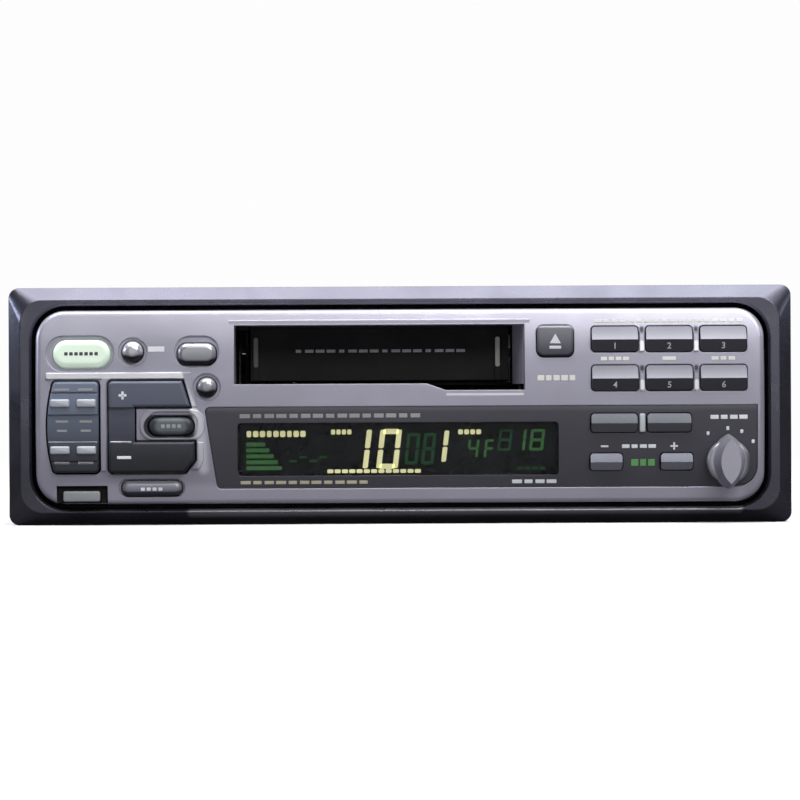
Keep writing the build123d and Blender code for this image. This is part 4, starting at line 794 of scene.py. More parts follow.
# Dark satin key paint, lighter towards the top as a painted highlight; the slate copy likewise.
KEY_DARK = FadedFinish("key_dark_satin", srgb(30, 31, 36), roughness=0.42, metallic=0.25,
                       grain_scale=4200.0, grain_depth=0.00001, variation=0.08, wear=0.2,
                       wear_color=srgb(110, 112, 122), dust=0.04, head_color=srgb(97, 102, 118))
KEY_SLATE = recolored(KEY_DARK, "key_slate_satin", srgb(46, 49, 57), srgb(120, 130, 150))
SOUND_SATIN = StrokedFinish("sound_key_satin", srgb(50, 53, 60), roughness=0.4, metallic=0.2,
                            grain_depth=0.000008, wear_color=srgb(110, 112, 120), wear=0.15, dust=0.03)
PAD_GREY = Finish("pad_grey_satin", srgb(150, 154, 156), roughness=0.4, metallic=0.3, grain_scale=4200.0,
                  grain_depth=0.000006, variation=0.05, wear=0.2, wear_color=srgb(180, 180, 184),
                  dust=0.03)
PAD_LIGHT = Finish("pad_light_satin", srgb(188, 192, 200), roughness=0.35, metallic=0.3,
                   grain_scale=4200.0, grain_depth=0.000006, variation=0.04, wear=0.15,
                   wear_color=srgb(220, 220, 224), dust=0.02)
NOSE_BLACK = Finish("nose_black", srgb(13, 12, 14), roughness=0.6, specular=0.25, grain_scale=2400.0,
                    grain_depth=0.00002, wear=0.1, wear_color=srgb(48, 48, 52), dust=0.06)
# Nearly black steel on the holder and head carriage: painted shade for the tunnel behind the slot.
HOLDER_SHADE_BLACK = Finish("tunnel_shade_steel", srgb(18, 18, 20), roughness=0.5, metallic=0.3,
                      grain_scale=2400.0, grain_depth=0.00001, wear=0.15, wear_color=srgb(70, 70, 72),
                      dust=0.08)
# Light strips for the flap's end beads: painted highlights, the dull copy a dimmer painted highlight on the
# left.
BEAD_HIGHLIGHT = Finish("bead_highlight", srgb(152, 148, 142), roughness=0.35, metallic=0.3, grain_depth=0.000004,
                   wear=0.1, wear_color=srgb(130, 128, 126), dust=0.03)
BEAD_DIM_HIGHLIGHT = replace(BEAD_HIGHLIGHT, name="bead_dim_highlight", color=srgb(84, 81, 82))
CHEEK_GREY = Finish("cheek_grey", srgb(160, 157, 170), roughness=0.4, metallic=0.2, grain_depth=0.000006,
                    wear=0.1, wear_color=srgb(130, 130, 136), dust=0.03)
# Dark panel lacquer, lighter towards its top edge as a painted highlight.
DARK_PANEL = FadedFinish("dark_panel_lacquer", srgb(69, 68, 76), roughness=0.38, metallic=0.2, coat=0.1,
                         grain_scale=5200.0, grain_depth=0.000005, variation=0.06, wear=0.08,
                         wear_color=srgb(90, 90, 98), dust=0.03, head_color=srgb(104, 103, 114),
                         foot=0.0266, head=0.0287)
LENS = ClearFinish("smoked_lens", (0.62, 0.63, 0.66), roughness=0.04)
LCD_BLACK = Finish("liquid_crystal_black", srgb(30, 32, 27), roughness=0.25, grain_depth=0.0,
                   variation=0.2, wear=0.0, dust=0.0)
LCD_CREAM = segment("cream", srgb(236, 232, 180), srgb(236, 232, 170), 1.1)
LCD_GREEN = segment("green", srgb(60, 110, 62), srgb(80, 128, 74), 0.62)
LCD_GHOST = segment("ghost", srgb(34, 62, 40), srgb(46, 84, 52), 0.7)
LIT_GREEN = GlowFinish("lit_pale_green", srgb(218, 232, 216), roughness=0.3, grain_depth=0.000004,
                       variation=0.03, wear=0.0, dust=0.02, glow=srgb(208, 232, 210), strength=0.3)
MARK_WHITE = printed("white", srgb(226, 230, 236), srgb(150, 152, 160))
MARK_DIM = printed("grey", srgb(150, 150, 152), srgb(110, 110, 112))
MARK_CREAM = printed("cream", srgb(190, 184, 160), srgb(120, 118, 105))
MARK_PALE = printed("pale", srgb(232, 231, 226), srgb(170, 168, 180))
MARK_DARK = printed("dark", srgb(70, 72, 84), srgb(110, 110, 120))
ZINC = RolledFinish("zinc_sheet", srgb(128, 130, 131), roughness=0.5, metallic=0.6, grain_depth=0.000008,
                    wear=0.25, wear_color=srgb(170, 170, 168), dust=0.04, smudge=0.03)
YELLOW_ZINC = Finish("yellow_zinc", srgb(196, 178, 120), roughness=0.3, metallic=1.0,
                     grain_depth=0.00001, wear=0.4, wear_color=srgb(200, 200, 198), dust=0.1)
CAST = Finish("cast_aluminium", srgb(168, 170, 174), roughness=0.5, metallic=0.9, grain_scale=1500.0,
              grain_depth=0.00006, variation=0.1, wear=0.4, wear_color=srgb(208, 208, 210), dust=0.2)
NICKEL = Finish("nickel_plate", srgb(200, 198, 192), roughness=0.22, metallic=1.0, grain_depth=0.000006,
                variation=0.06, wear=0.2, wear_color=srgb(220, 218, 210), dust=0.08)
SOCKET_BLACK = Finish("socket_black", srgb(28, 28, 30), roughness=0.4, grain_scale=2600.0,
                      grain_depth=0.00002, wear=0.15, wear_color=srgb(66, 66, 70), dust=0.15)
FUSE_BLUE = Finish("fuse_blue", srgb(40, 92, 178), roughness=0.25, coat=0.3, grain_depth=0.000006,
                   wear=0.1, wear_color=srgb(110, 150, 210), dust=0.08)
BOARD = BoardFinish("board_green", srgb(28, 84, 52), roughness=0.35, grain_depth=0.00002, wear=0.0,
                    dust=0.1)
CAP_BLUE = Finish("capacitor_sleeve", srgb(30, 38, 70), roughness=0.3, coat=0.3, grain_depth=0.00001,
                  wear=0.1, wear_color=srgb(80, 90, 120), dust=0.1)
CHIP_BLACK = Finish("chip_epoxy", srgb(32, 32, 34), roughness=0.55, grain_scale=2200.0,
                    grain_depth=0.00003, wear=0.1, wear_color=srgb(80, 80, 82), dust=0.1)
GROUND_RUBBER = Finish("ground_rubber", srgb(32, 32, 32), roughness=0.75, grain_scale=2000.0,
                       grain_depth=0.00004, wear=0.1, wear_color=srgb(70, 70, 70), dust=0.1)
SILICONE = Finish("silicone_mat", srgb(190, 190, 184), roughness=0.6, grain_scale=2400.0,
                  grain_depth=0.00002, wear=0.0, dust=0.05)
ACETAL = Finish("white_acetal", srgb(226, 224, 214), roughness=0.4, grain_scale=2400.0,
                grain_depth=0.00001, wear=0.1, wear_color=srgb(190, 188, 176), dust=0.08)
TURNED_BRASS = RolledFinish("turned_brass", srgb(196, 160, 88), roughness=0.28, metallic=1.0,
                            grain_depth=0.000008, wear=0.2, wear_color=srgb(220, 190, 120), dust=0.05)
LABEL_PAPER = Finish("label_paper", srgb(168, 168, 162), roughness=0.6, grain_scale=2600.0,
                     grain_depth=0.00001, wear=0.3, wear_color=srgb(180, 178, 168), dust=0.1)


# ---- Sub-assemblies ----


def dress_all(palette: Palette, finishes: dict[str, Finish]) -> None:
    """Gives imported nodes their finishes. A key names one node, or several with spaces between."""
    for nodes, finish in finishes.items():
        palette.dress(finish, *nodes.split())


@dataclass
class Surround:
    """Trim ring, nose and slot flap."""

    shop: Workshop
    legend_size: tuple[float, float] = (42.0, 0.75)
    legend_bars: int = 16
    strip_width: float = 1.15
    strip_height: float = 7.2
    strip_drop: float = 0.3
    cheek_height: float = 0.0150
    cheek_drop: float = 0.0007

    def dress(self) -> None:
        """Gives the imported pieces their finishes."""
        low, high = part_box("trim_ring")
        ledge_z = low.z / MM + 3.0
        # Painted highlight: a light line along the ring's inner ledge at the bottom.
        ledge_highlight = Stroke((-50.0, ledge_z), (high.x / MM - 13.0, ledge_z + 0.4), 1.9, srgb(156, 156, 162), 0.6)
        dress_all(self.shop.palette, {
            "trim_ring": replace(RING.across("trim_ring"), strokes=(ledge_highlight,)),
            "nose_panel cassette_flap": NOSE_BLACK,
            "dock_connector": SOCKET_BLACK,
        })

    def legend(self) -> None:
        """Row of plain dashes on the flap, in place of a printed feature line."""
        row = self.shop.row("cassette_flap", middle("cassette_flap"), self.legend_size, self.legend_bars,
                            (0.5, 0.82, 0.82, 0.82), 0.1)
        self.shop.unite("flap_legend", row, MARK_DIM, "cassette_flap", "nose")

    def flap_beads(self) -> None:
        """Painted highlights: light strips on the beads at both ends of the flap, the left one dimmer."""
        low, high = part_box("cassette_flap")
        z = (low.z + high.z) / 2 / MM - self.strip_drop
        for name, x, finish in (("flap_highlight_left", low.x / MM + 3.1, BEAD_DIM_HIGHLIGHT),
                                ("flap_highlight_right", high.x / MM - 4.5, BEAD_HIGHLIGHT)):
            strip = self.shop.bar("cassette_flap", x, z, self.strip_width, self.strip_height, 0.4, 0.12)
            self.shop.unite(name, [strip], finish, "cassette_flap", "nose")

    def slot_cheek(self) -> None:
        """Sloping cheek inside the right end of the slot, in the face."""
        low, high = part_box("cassette_flap")
        left, right = high.x - 0.0010, high.x + 0.0015
        front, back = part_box("face_back")[0].y - 0.0075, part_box("face_back")[1].y
        x, y, z = (left + right) / 2, (front + back) / 2, (low.z + high.z) / 2 - self.cheek_drop
        cheek = self.shop.slab("slot_cheek", (x, y, z), (right - left, back - front, self.cheek_height))
        for vertex in cheek.data.vertices:
            if vertex.co.x < x and vertex.co.y < y:
                vertex.co.x = right - 0.0002
        self.shop.settle(cheek, CHEEK_GREY, "face", "face_silver")

    def build(self) -> None:
        """Builds and dresses the surround."""
        self.dress()
        self.legend()
        self.flap_beads()
        self.slot_cheek()


@dataclass
class FacePanel:
    """The detachable face: shell, dark panel and their printed marks."""

    shop: Workshop
    rib_size: tuple[float, float, float] = (0.0014, 0.0012, 0.0044)
    sign_length: float = 1.8
    sign_stroke: float = 0.45
    tick_size: tuple[float, float] = (0.7, 0.9)

    def dress(self) -> None:
        """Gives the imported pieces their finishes."""
        dress_all(self.shop.palette, {
            "face_shell": self.shell_paint(), "display_bezel": DARK_PANEL, "display_window": LENS,
            "display_module": LCD_BLACK, "face_back": NOSE_BLACK, "face_board": BOARD,
            "key_mat": SILICONE, "face_connector knob_switch": SOCKET_BLACK,
        })

    def shell_paint(self) -> StrokedFinish:
        """Silver paint with light and shade painted on: painted shade in the well round the sound key,
        painted highlights along the ridge and down beside the keypad, a painted highlight on the slot's lower
        lip, painted light along the face's foot, and the painted shading between the presets.
        """
        sound_x, sound_z = middle("sound_key")
        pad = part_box("volume_rocker")[1]
        pad_x, pad_z = pad.x / MM, pad.z / MM
        seek_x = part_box("seek_rocker")[0].x / MM + 0.5
        ridge_x, ridge_z = pad_x - 3.6, pad_z + 1.35
        # Colours of the painted highlights and of the painted shade.
        light, dark = srgb(232, 232, 238), srgb(58, 61, 66)
        slot_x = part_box("cassette_flap")[1].x / MM + 1.1
        slot_z = middle("cassette_flap")[1] - 10.65
        low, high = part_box("face_shell")
        foot_z = low.z / MM + 2.4
        # Strokes, in turn: painted light along the foot, painted shade round the sound key, painted
        # highlights along the ridge, down beside the keypad and on the slot's lower lip.
        return replace(SILVER, strokes=self.gap_strokes() + (
            Stroke((low.x / MM + 7.0, foot_z), (high.x / MM - 7.0, foot_z), 4.6, srgb(190, 188, 203), 1.2),
            Stroke((sound_x - 3.8, sound_z), (sound_x + 4.0, sound_z), 5.6, dark),
            Stroke((seek_x, ridge_z), (ridge_x, ridge_z), 1.5, light, 0.2),
            Stroke((ridge_x, ridge_z), (pad_x + 0.9, pad_z - 9.5), 1.5, light, 0.5),
            Stroke((pad_x + 1.0, pad_z - 9.0), (pad_x + 2.0, pad_z - 21.0), 2.2, srgb(218, 218, 230), 0.9),
            Stroke((slot_x - 18.0, slot_z), (slot_x, slot_z), 0.5, light, 0.2),
        ))

    def gap_strokes(self) -> tuple[Stroke, ...]:
        """Shade above and light below in the gaps between the presets."""
        strokes = []
        for left, right in ((1, 2), (2, 3), (4, 5), (5, 6)):
            x, z = middle(f"preset_key_{left}")
            x = (x + middle(f"preset_key_{right}")[0]) / 2
            strokes.append(Stroke((x, z - 2.6), (x, z - 1.0), 1.2, srgb(240, 240, 246), 0.3))
            strokes.append(Stroke((x, z + 1.9), (x, z + 2.5), 1.1, srgb(70, 70, 80), 0.4))
        return tuple(strokes)

    def dashes(self, node: str, finish: Finish, rows: tuple) -> None:
        """Makes rows of small bars that stand for lines of lettering.

        Args:
            node: The node under them.
            finish: Their finish.
            rows: For each row its name, centre across the set, height, width, bar height and count, mm.
        """
        for name, x, z, width, height, count in rows:
            row = self.shop.row(node, (x, z), (width, height), count, (0.86, 0.7, 0.8))
            self.shop.unite(name, row, finish, "face", "face_silver")

    def shell_marks(self) -> None:
        """Printed marks on the silver shell."""
        off_x, off_z = middle("off_button")
        self.dashes("face_shell", MARK_WHITE, (("off_legend", off_x + 5.6, off_z + 0.6, 4.6, 1.3, 1),))
        eject_x, eject_z = middle("eject_key")
        upper, lower = middle("preset_key_2"), middle("preset_key_5")
        gap_z = (upper[1] + lower[1]) / 2
        self.dashes("face_shell", MARK_PALE, (
            ("eject_legend", eject_x + 0.3, eject_z - 8.8, 9.4, 1.3, 5),
            ("preset_legend", upper[0], upper[1] + 4.4, 36.0, 0.8, 18),
            ("preset_mark_1", middle("preset_key_1")[0], gap_z, 7.0, 0.9, 4),
            ("preset_mark_2", middle("preset_key_2")[0], gap_z, 3.8, 0.9, 1),
            ("preset_mark_3", middle("preset_key_3")[0], gap_z, 6.0, 0.9, 3),
        ))

    def panel_marks(self) -> None:
        """Printed marks on the dark panel."""
        low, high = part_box("display_window")
        left, right = low.x / MM + 1.5, high.x / MM - 1.5
        top, foot = high.z / MM + 0.7, low.z / MM - 0.6
        down, down_z = middle("tone_down_key")
        up = middle("tone_up_key")[0]
        label_x, label_z = (down + up) / 2, down_z + 3.7
        knob_x, knob_z = middle("bass_knob")
        self.dashes("display_bezel", MARK_DIM, (("display_legend_upper", left + 21.8, top, 43.6, 1.0, 15),))
        self.dashes("display_bezel", MARK_CREAM, (
            ("display_legend_lower", left + 15.6, foot, 31.0, 0.8, 11),
        ))
        self.dashes("display_bezel", LCD_GREEN, (
            ("tone_mode_legend", label_x + 0.4, down_z - 0.2, 6.0, 1.6, 3),
        ))
        self.dashes("display_bezel", MARK_WHITE, (
            ("display_legend_right", right - 5.5, foot, 11.0, 0.9, 4),
            ("tone_legend", label_x - 0.6, label_z, 8.4, 0.9, 4),
            ("knob_legend", knob_x + 0.3, knob_z + 10.6, 9.2, 1.0, 4),
        ))
        length, stroke = self.sign_length, self.sign_stroke
        signs = [
            self.shop.bar("display_bezel", x, label_z, width, height, 0.1)
            for x, width, height in ((down - 0.4, length, stroke), (up - 0.6, length, stroke),
                                     (up - 0.6, stroke, length))
        ]
        self.shop.unite("tone_signs", signs, MARK_WHITE, "face", "dark_panel")
        ticks = [
            self.shop.bar("display_bezel", knob_x + radius * math.sin(math.radians(turn)),
                          knob_z + radius * math.cos(math.radians(turn)), *self.tick_size, 0.2)
            for turn, radius in ((-35.0, 8.2), (0.0, 7.9), (25.0, 7.9), (52.0, 7.7))
        ]
        self.shop.unite("knob_ticks", ticks, MARK_WHITE, "face", "dark_panel")

    def rib(self) -> None:
        """Bright dividing rib between the two keys in the dark panel."""
        left_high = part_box("loudness_key")[1].x / MM
        right_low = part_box("noise_reduction_key")[0].x / MM
        x, z = (left_high + right_low) / 2 * MM, middle("loudness_key")[1] * MM
        depth = self.shop.surface_y("display_bezel", x, z)
        rib = self.shop.slab("panel_rib", (x, depth - 0.0003, z), self.rib_size, 0.0004, 0.0002)
        self.shop.settle(rib, PAD_LIGHT, "face", "silver_key", smooth=True)

    def build(self) -> None:
        """Builds and dresses the face."""
        self.dress()
        self.shell_marks()
        self.panel_marks()
        self.rib()


@dataclass
class Keys:
    """The keys' finishes, pads and signs."""

    shop: Workshop
    pad_size: tuple[float, float, float] = (0.0046, 0.0011, 0.0019)
    cap_size: tuple[float, float, float] = (0.0088, 0.0009, 0.0025)
    arrow_radius: float = 1.55
    figure_height: float = 1.5
    figure_drop: float = 1.7

    def dress(self) -> None:
        """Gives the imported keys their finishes."""
        palette = self.shop.palette
        # Each group gets its painted top shading fitted to its own height, and its painted colour on slopes
        # that look down.
        for finish, keys in (
            (DOME_SILVER, ("off_button",)),
            (KEY_SILVER, ("display_key",)),
            (KEY_SILVER, ("clock_button",)),
            (KEY_GREY, ("preset_key_1", "preset_key_2", "preset_key_3")),
            (KEY_GREY, ("preset_key_4", "preset_key_5", "preset_key_6")),
            (KEY_BLUISH, ("tone_down_key", "tone_up_key")),
            (KEY_DUSKY, ("loudness_key", "noise_reduction_key")),
            (KEY_FLAT, ("eject_key",)),
            (KEY_SHADED, ("scan_key",)),
            (KEY_SLATE, ("seek_rocker",)),
            (KEY_DARK, ("volume_rocker",)),
        ):
            palette.dress(finish.across(*keys), *keys)
        # Painted shade on the knob's right flank.
        knob_x, knob_z = middle("bass_knob")
        flank = knob_x + 6.4
        shade = Stroke((flank, knob_z - 3.0), (flank, knob_z + 4.0), 5.0, srgb(84, 83, 93), 1.6)
        # Painted highlight: a paler middle on the sound key.
        sound_x, sound_z = middle("sound_key")
        field_end = sound_x + 1.6
        pale = Stroke((sound_x - 1.6, sound_z), (field_end, sound_z), 4.2, srgb(96, 104, 110), 0.6)
        dress_all(palette, {
            "source_key": LIT_GREEN, "release_key": NOSE_BLACK,
            "bass_knob": replace(KNOB_SILVER, strokes=(shade,)),
            "sound_key": replace(SOUND_SATIN, strokes=(pale,)),
        })

    def bars(self, key: str, rows: tuple) -> list[bpy.types.Object]:
        """Makes bars on a key from their centre, width, height and corner radius, mm."""
        return [self.shop.bar(key, *row) for row in rows]

    def seek_pads(self) -> None:
        """Four light pads on the seek rocker, with small marks above and below them."""
        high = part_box("seek_rocker")[1]
        right, top = high.x / MM, high.z / MM
        columns = (right - 9.2, right - 2.9)
        pads = []
        for x in columns:
            for z in (top - 5.2, top - 16.4):
                depth = self.shop.surface_y("seek_rocker", x * MM, z * MM)
                place = (x * MM, depth - 0.0001, z * MM)
                pads.append(self.shop.slab("pad", place, self.pad_size, 0.0004, 0.0004))
        self.shop.unite("seek_pads", pads, PAD_LIGHT, "seek_rocker", "silver_key", smooth=True)
        marks = self.bars("seek_rocker", tuple(
            (x, z, width, 0.6, 0.1)
            for z, width in ((top - 2.0, 3.6), (top - 9.6, 3.0), (top - 11.8, 2.4), (top - 19.4, 3.6))
            for x in (columns[0] + 0.4, columns[1] - 0.2)
        ))
        # A thin light line across the rocker, above its lower part.
        marks.append(self.shop.bar("seek_rocker", right - 6.2, top - 14.5, 11.6, 0.35, 0.1))
        self.shop.unite("seek_marks", marks, MARK_DIM, "seek_rocker", "dark_key")

    def volume_signs(self) -> None:
        """Plus and minus signs on the volume rocker."""
        low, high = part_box("volume_rocker")
        x, top, foot = low.x / MM + 3.4, high.z / MM - 3.4, low.z / MM + 3.7
        # The last bar is a thin light line across the rocker, above its lower part.
        signs = self.bars("volume_rocker", (
            (x, top, 1.9, 0.6, 0.15), (x, top, 0.6, 1.9, 0.15),
            (x + 0.3, foot, 3.4, 0.7, 0.15), (x - 0.5, foot + 3.7, 5.0, 0.35, 0.1),
        ))
        self.shop.unite("volume_signs", signs, MARK_WHITE, "volume_rocker", "dark_key")

    def eject_arrow(self) -> None:
        """Arrow over a bar on the eject key."""
        x, z = middle("eject_key")
        centre_z = (z + 0.2) * MM
        self.shop.clear_selection()
        bpy.ops.mesh.primitive_cylinder_add(
            vertices=3, radius=self.arrow_radius * MM, depth=self.shop.thickness,
            location=(x * MM, 0.0, centre_z), rotation=(math.radians(90), 0, 0),
        )
        arrow = bpy.context.object
        self.shop.apply(arrow)
        if sum(vertex.co.z > (z + 0.5) * MM for vertex in arrow.data.vertices) > 2:
            for vertex in arrow.data.vertices:
                vertex.co.z = 2 * centre_z - vertex.co.z
        bpy.ops.object.mode_set(mode="EDIT")
        bpy.ops.mesh.select_all(action="SELECT")
        bpy.ops.mesh.normals_make_consistent(inside=False)
        bpy.ops.object.mode_set(mode="OBJECT")
        self.shop.lay(arrow, "eject_key", 0.00006)
        foot = self.shop.bar("eject_key", x, z - 1.5, 2.8, 0.7, 0.1)
        self.shop.unite("eject_arrow", [arrow, foot], MARK_WHITE, "eject_key", "grey_key")

    def small_marks(self) -> None:
        """Small bars on the source, sound and scan keys."""
        for key, count, size, finish, shift in (
            ("source_key", 7, (8.4, 0.8), MARK_DARK, 0.0),
            ("sound_key", 4, (5.2, 0.9), MARK_DIM, 0.0),
            ("scan_key", 4, (5.6, 0.8), MARK_WHITE, -0.2),
        ):
            x, z = middle(key)
            row = self.shop.row(key, (x, z + shift), size, count, (0.7,), 0.15)
            self.shop.unite(f"{key}_marks", row, finish, key, "dark_key")

    def release_cap(self) -> None:
        """Light cap of the release key."""
        low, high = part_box("release_key")
        place = (middle("release_key")[0] * MM, low.y - 0.0001, high.z - 0.0022)
        cap = self.shop.slab("release_cap", place, self.cap_size, 0.0005, 0.0003)
        self.shop.settle(cap, PAD_GREY, "release_key", "silver_key", smooth=True)

    def preset_figures(self) -> None:
        """Figures 1 to 6 on the shaded slopes of the presets."""
        for number in range(1, 7):
            key = f"preset_key_{number}"
            x, z = middle(key)
            figure = self.shop.text(str(number), key, x, z - self.figure_drop, self.figure_height)
            self.shop.unite(f"preset_figure_{number}", [figure], MARK_WHITE, key, "grey_key")

    def build(self) -> None:
        """Builds and dresses the keys."""
        self.dress()
        self.seek_pads()
        self.volume_signs()
        self.eject_arrow()
        self.small_marks()
        self.release_cap()
        self.preset_figures()


@dataclass
class DisplayGlass:
    """The lit and unlit segments of the display, in millimetres from the window's lower left corner."""

    shop: Workshop
    slant: float = 0.12
    thickness: float = 0.12
    reach: tuple[float, float] = (38.2, 6.2)
    lean_height: float = 6.0

    SEGMENTS = {"0": "abcdef", "1": "bc", "4": "fgbc", "8": "abcdefg", "F": "aefg"}

    def __post_init__(self) -> None:
        """Reads the window's corner and the depth of the glass from the frame."""
        x, z = middle("display_window")
        self.left, self.foot = x - self.reach[0], z - self.reach[1]
        self.glass = self.shop.surface_y("display_module", x * MM, z * MM)

    def plate(self, x: float, z: float, width: float, height: float,
              slanted: bool = False) -> bpy.types.Object:
        """Makes one segment or bar, flat on the glass.

        Args:
            x: Centre from the window's left, mm.
            z: Centre from the window's foot, mm.
            width: Width, mm.
            height: Height, mm.
            slanted: Whether it leans with the figures.

        Returns:
            The plate.
        """
        place = ((self.left + x) * MM, self.glass - self.thickness * MM / 2, (self.foot + z) * MM)
        size = (width * MM, self.thickness * MM, height * MM)
        piece = self.shop.slab("segment", place, size, 0.3 * min(width, height) * MM)
        if slanted:
            for vertex in piece.data.vertices:
                vertex.co.x += self.slant * (vertex.co.z - (self.foot + self.lean_height) * MM)
        return piece

    def row(self, x: float, z: float, pitch: float, count: int, width: float, height: float) -> list:
        """Makes a level row of equal plates, starting at a centre."""
        return [self.plate(x + pitch * step, z, width, height) for step in range(count)]

    def figure(self, sign: str, x: float, z: float, width: float, height: float, stroke: float) -> list:
        """Makes the segments of one seven-segment figure.

        Args:
            sign: Which figure.
            x: Left edge, mm.
            z: Foot, mm.
            width: Width, mm.
            height: Height, mm.
            stroke: Stroke width, mm.

        Returns:
            Its plates.
        """
        half = height / 2
        level = {"a": height - stroke / 2, "g": half, "d": stroke / 2}
        plates = []
        for name in self.SEGMENTS[sign]:
            if name in level:
                plates.append(self.plate(x + width / 2, z + level[name], width - 1.3 * stroke, stroke, True))
            else:
                side = x + stroke / 2 if name in "fe" else x + width - stroke / 2
                centre = z + (1.5 if name in "fb" else 0.5) * half
                plates.append(self.plate(side, centre, stroke, half - 0.3 * stroke, True))
        return plates

    def figures(self, *rows: tuple) -> list:
        """Makes several figures."""
        return [plate for row in rows for plate in self.figure(*row)]

    def build(self) -> None:
        """Builds the whole picture of the display."""
        meter = [self.plate(2.4 + 1.62 * step, 9.9, 1.3 if step % 3 else 1.1, 1.5) for step in range(9)]
        lit = self.figures(("1", 28.0, 1.4, 3.4, 9.6, 1.25), ("0", 33.4, 1.4, 5.2, 9.6, 1.25),
                           ("1", 47.0, 2.9, 3.0, 7.8, 1.15))
        lit_rows = (self.row(22.6, 10.3, 1.3, 4, 1.0, 1.2) + self.row(21.9, 0.9, 1.75, 13, 1.45, 0.9)
                    + self.row(53.2, 10.2, 1.45, 4, 1.15, 1.2))
        steps = [
            self.plate(1.7 + length / 2, 7.4 - 1.42 * row, length, 0.95)
            for row, length in enumerate((4.6, 5.6, 6.6, 7.6, 8.6))
        ]
        green = self.figures(("4", 54.9, 4.0, 2.6, 4.4, 0.6), ("F", 58.9, 4.0, 2.4, 4.4, 0.6),
                             ("1", 66.0, 5.6, 2.6, 5.2, 0.7), ("8", 69.6, 5.6, 3.4, 5.2, 0.7))
        unlit = self.figures(("0", 40.0, 2.4, 3.2, 7.6, 0.8), ("8", 44.0, 2.4, 3.0, 7.6, 0.8),
                             ("8", 62.0, 5.6, 3.2, 5.2, 0.6))
        unlit += [self.plate(13.0 + 2.4 * step, 3.4 + 0.9 * (step % 2), 1.9, 0.6) for step in range(4)]
        unlit += self.row(67.4, 1.4, 1.8, 4, 1.4, 0.7)
        for name, plates, finish in (("display_lit_figures", meter + lit + lit_rows, LCD_CREAM),
                                     ("display_green_figures", steps + green, LCD_GREEN),
                                     ("display_unlit_figures", unlit, LCD_GHOST)):
            self.shop.unite(name, plates, finish, "face", "display")


@dataclass
class ChassisBox:
    """Sheet metal box, rear fittings and what is inside."""

    shop: Workshop
    label_place: tuple[float, float] = (-0.008, 0.054)
    label_size: tuple[float, float] = (0.050, 0.030)
    sheet: float = 0.0001

    def dress(self) -> None:
        """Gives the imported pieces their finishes."""
        dress_all(self.shop.palette, {
            "chassis_tray top_cover": ZINC, "cover_screws": YELLOW_ZINC, "heat_sink": CAST,
            "power_connector line_out_jacks": SOCKET_BLACK, "blade_fuse": FUSE_BLUE,
            "aerial_socket rear_stud tuner_module": NICKEL, "main_board": BOARD,
            "filter_capacitors": CAP_BLUE, "amplifier_chip": CHIP_BLACK,
        })

    def sticker(self, name: str, x: float, y: float, size: tuple[float, float],
                top: float) -> bpy.types.Object:
        """Makes a thin level sheet with rounded corners.

        Args:
            name: Its name.
            x: Centre across the set, metres.
            y: Centre along the depth, metres.
            size: Width and depth, metres.
            top: Height of its upper face, metres.

        Returns:
            The sheet.
        """
        corner = min(0.0012, min(size) / 5)
        place = (x, y, top - self.sheet / 2)
        return self.shop.slab(name, place, (*size, self.sheet), corner, axis=Axis.HEIGHT, segments=3)

    def rating_label(self) -> None:
        """Label with plain bars in place of wording, on the cover behind the pressed panel."""
        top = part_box("top_cover")[1].z
        x, y = self.label_place
        label = self.sticker("rating_label", x, y, self.label_size, top + 0.00002)
        self.shop.settle(label, LABEL_PAPER, "chassis", "sheet_steel")
        left, back = x - 0.021, y + 0.010
        bars = [
            self.sticker("bar", left + width / 2, back - 0.0042 * row, (width, 0.0016), top + 0.00003)
            for row, width in enumerate((0.026, 0.040, 0.034, 0.038, 0.018))
        ]
        self.shop.unite("rating_label_bars", bars, MARK_DARK, "chassis", "sheet_steel")

    def build(self) -> None:
        """Builds and dresses the chassis."""
        self.dress()
        self.rating_label()


@dataclass
class TapeDeck:
    """The cassette deck's finishes."""

    shop: Workshop

    def build(self) -> None:
        """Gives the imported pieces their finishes."""
        dress_all(self.shop.palette, {
            # The holder and head carriage are painted nearly black as shade in the tunnel behind the slot.
            "deck_base": ZINC, "cassette_holder head_carriage": HOLDER_SHADE_BLACK,
            "deck_motor tape_head": NICKEL, "flywheel_front flywheel_rear motor_pulley": TURNED_BRASS,
            "drive_belt pinch_roller_front pinch_roller_rear": GROUND_RUBBER,
            "reel_hub_front reel_hub_rear": ACETAL,
        })


# ---- Studio ----


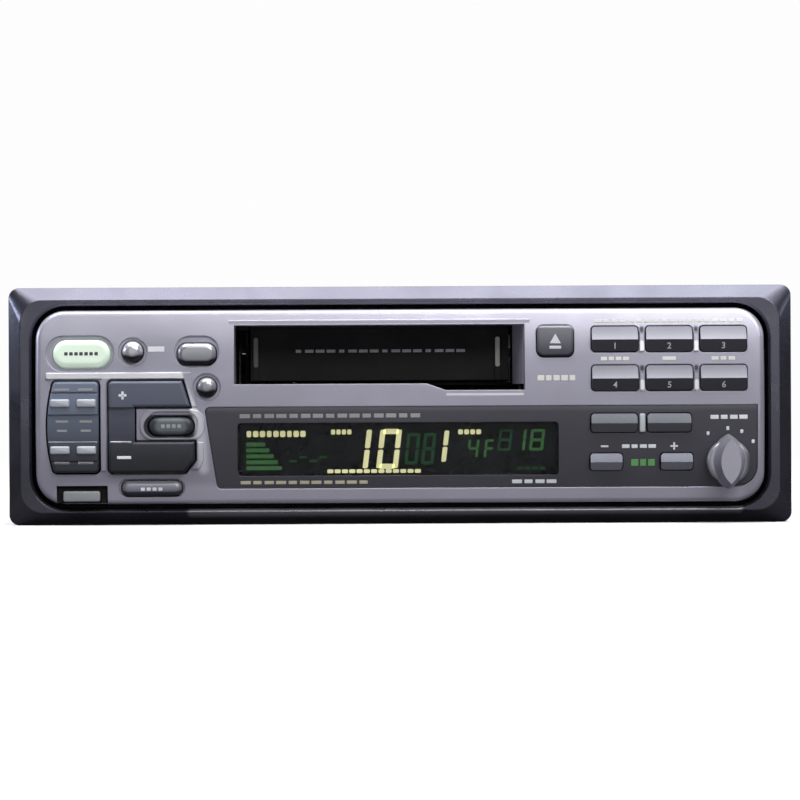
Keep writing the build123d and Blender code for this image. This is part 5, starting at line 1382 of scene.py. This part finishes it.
@dataclass
class Studio:
    """Pale floor, soft lights and the camera."""

    view_width: float = 0.1916
    distance: float = 0.78
    tilt: float = 0.28
    floor_width: float = 60.0
    eye_lift: float = 0.0012
    backdrop: Color = (0.985, 0.985, 0.985)

    def floor(self) -> None:
        """Lays a wide pale floor that is darker to light that bounces off it than to the eye."""
        bpy.ops.object.select_all(action="DESELECT")
        bpy.ops.mesh.primitive_plane_add(size=self.floor_width, location=(0.0, 0.0, 0.0))
        ground = bpy.context.object
        ground.name = "studio_floor"
        paint = bpy.data.materials.new("floor_paint")
        paint.use_nodes = True
        graph = Graph(paint.node_tree)
        seen = graph.add("LightPath").outputs["Is Camera Ray"]
        away = graph.add("VectorMath", {0: graph.place()}, operation="LENGTH").outputs["Value"]
        color = graph.mix(seen, (0.14, 0.14, 0.145), (0.86, 0.86, 0.87))
        paper = graph.add("BsdfDiffuse", {"Color": color})
        haze = graph.add("Emission", {"Color": (*self.backdrop, 1.0), "Strength": 1.0})
        far = graph.math("MULTIPLY", graph.ramp(away, 0.2, 0.85), seen)
        shader = graph.add("MixShader", {0: far, 1: paper.outputs[0], 2: haze.outputs[0]})
        graph.add("OutputMaterial", {"Surface": shader.outputs[0]})
        ground.data.materials.append(paint)

    def sky(self) -> None:
        """Sets a pale surround that lights the object only a little."""
        world = bpy.data.worlds.new("studio_air")
        bpy.context.scene.world = world
        world.use_nodes = True
        graph = Graph(world.node_tree)
        seen = graph.add("LightPath").outputs["Is Camera Ray"]
        color = graph.mix(seen, (0.03, 0.03, 0.033), self.backdrop)
        air = graph.add("Background", {"Color": color, "Strength": 1.0})
        graph.add("OutputWorld", {"Surface": air.outputs[0]})

    def lamp(self, name: str, place: tuple[float, float, float], aim: tuple[float, float, float],
             size: tuple[float, float], power: float, color: Color = (1.0, 1.0, 1.0)) -> None:
        """Hangs one soft lamp.

        Args:
            name: Its name.
            place: Where it hangs, metres.
            aim: The point it looks at, metres.
            size: Width and height of its face, metres.
            power: Watts.
            color: Colour of its light.
        """
        light = bpy.data.lights.new(name, "AREA")
        light.shape = "RECTANGLE"
        light.size, light.size_y = size
        light.energy = power
        light.color = color
        holder = bpy.data.objects.new(name, light)
        holder.visible_camera = False
        bpy.context.scene.collection.objects.link(holder)
        holder.location = place
        holder.rotation_euler = (Vector(aim) - Vector(place)).to_track_quat("-Z", "Y").to_euler()

    def camera(self) -> None:
        """Sets the camera straight in front, a hair above the middle of the face."""
        low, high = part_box("trim_ring")
        centre_z = (low.z + high.z) / 2 + self.eye_lift
        lens = bpy.data.cameras.new("front_camera")
        lens.sensor_width = 36.0
        lens.lens = lens.sensor_width * self.distance / self.view_width
        lens.clip_start, lens.clip_end = 0.01, 100.0
        holder = bpy.data.objects.new("front_camera", lens)
        bpy.context.scene.collection.objects.link(holder)
        holder.location = (0.0, low.y - self.distance, centre_z)
        holder.rotation_euler = (math.radians(90.0), math.radians(self.tilt), 0.0)
        bpy.context.scene.camera = holder

    def build(self) -> None:
        """Builds the studio."""
        self.floor()
        self.sky()
        target = (0.0, 0.0, 0.03)
        self.lamp("top_softbox", (0.0, -0.25, 0.95), target, (1.3, 0.7), 14.5)
        self.lamp("front_softbox", (0.42, -1.15, 0.78), target, (1.0, 0.45), 9.8)
        self.lamp("level_fill", (0.1, -1.5, 0.08), target, (1.1, 0.12), 0.95)
        for name, side, power, tint in (("left_accent", -1.0, 0.13, (0.78, 0.86, 1.0)),
                                        ("right_accent", 1.0, 0.03, (0.85, 0.9, 1.0))):
            place, aim = (side * 0.26, -0.085, 0.1), (side * 0.09, -0.075, 0.045)
            self.lamp(name, place, aim, (0.06, 0.06), power, tint)
        self.lamp("right_rear_softbox", (1.0, 0.9, 0.7), target, (0.8, 0.6), 12.0)
        self.lamp("left_rear_softbox", (-1.0, 0.9, 0.7), target, (0.8, 0.6), 12.0)
        self.camera()
        bpy.context.scene.view_settings.view_transform = "Standard"


def main() -> None:
    """Builds the set's looks piece by piece."""
    shop = Workshop(Palette())
    for group in (Surround, FacePanel, Keys, DisplayGlass, ChassisBox, TapeDeck):
        group(shop).build()
        log.info("built %s", group.__name__)
    shop.clear_blocks()
    Studio().build()


if __name__ == "__main__":
    main()
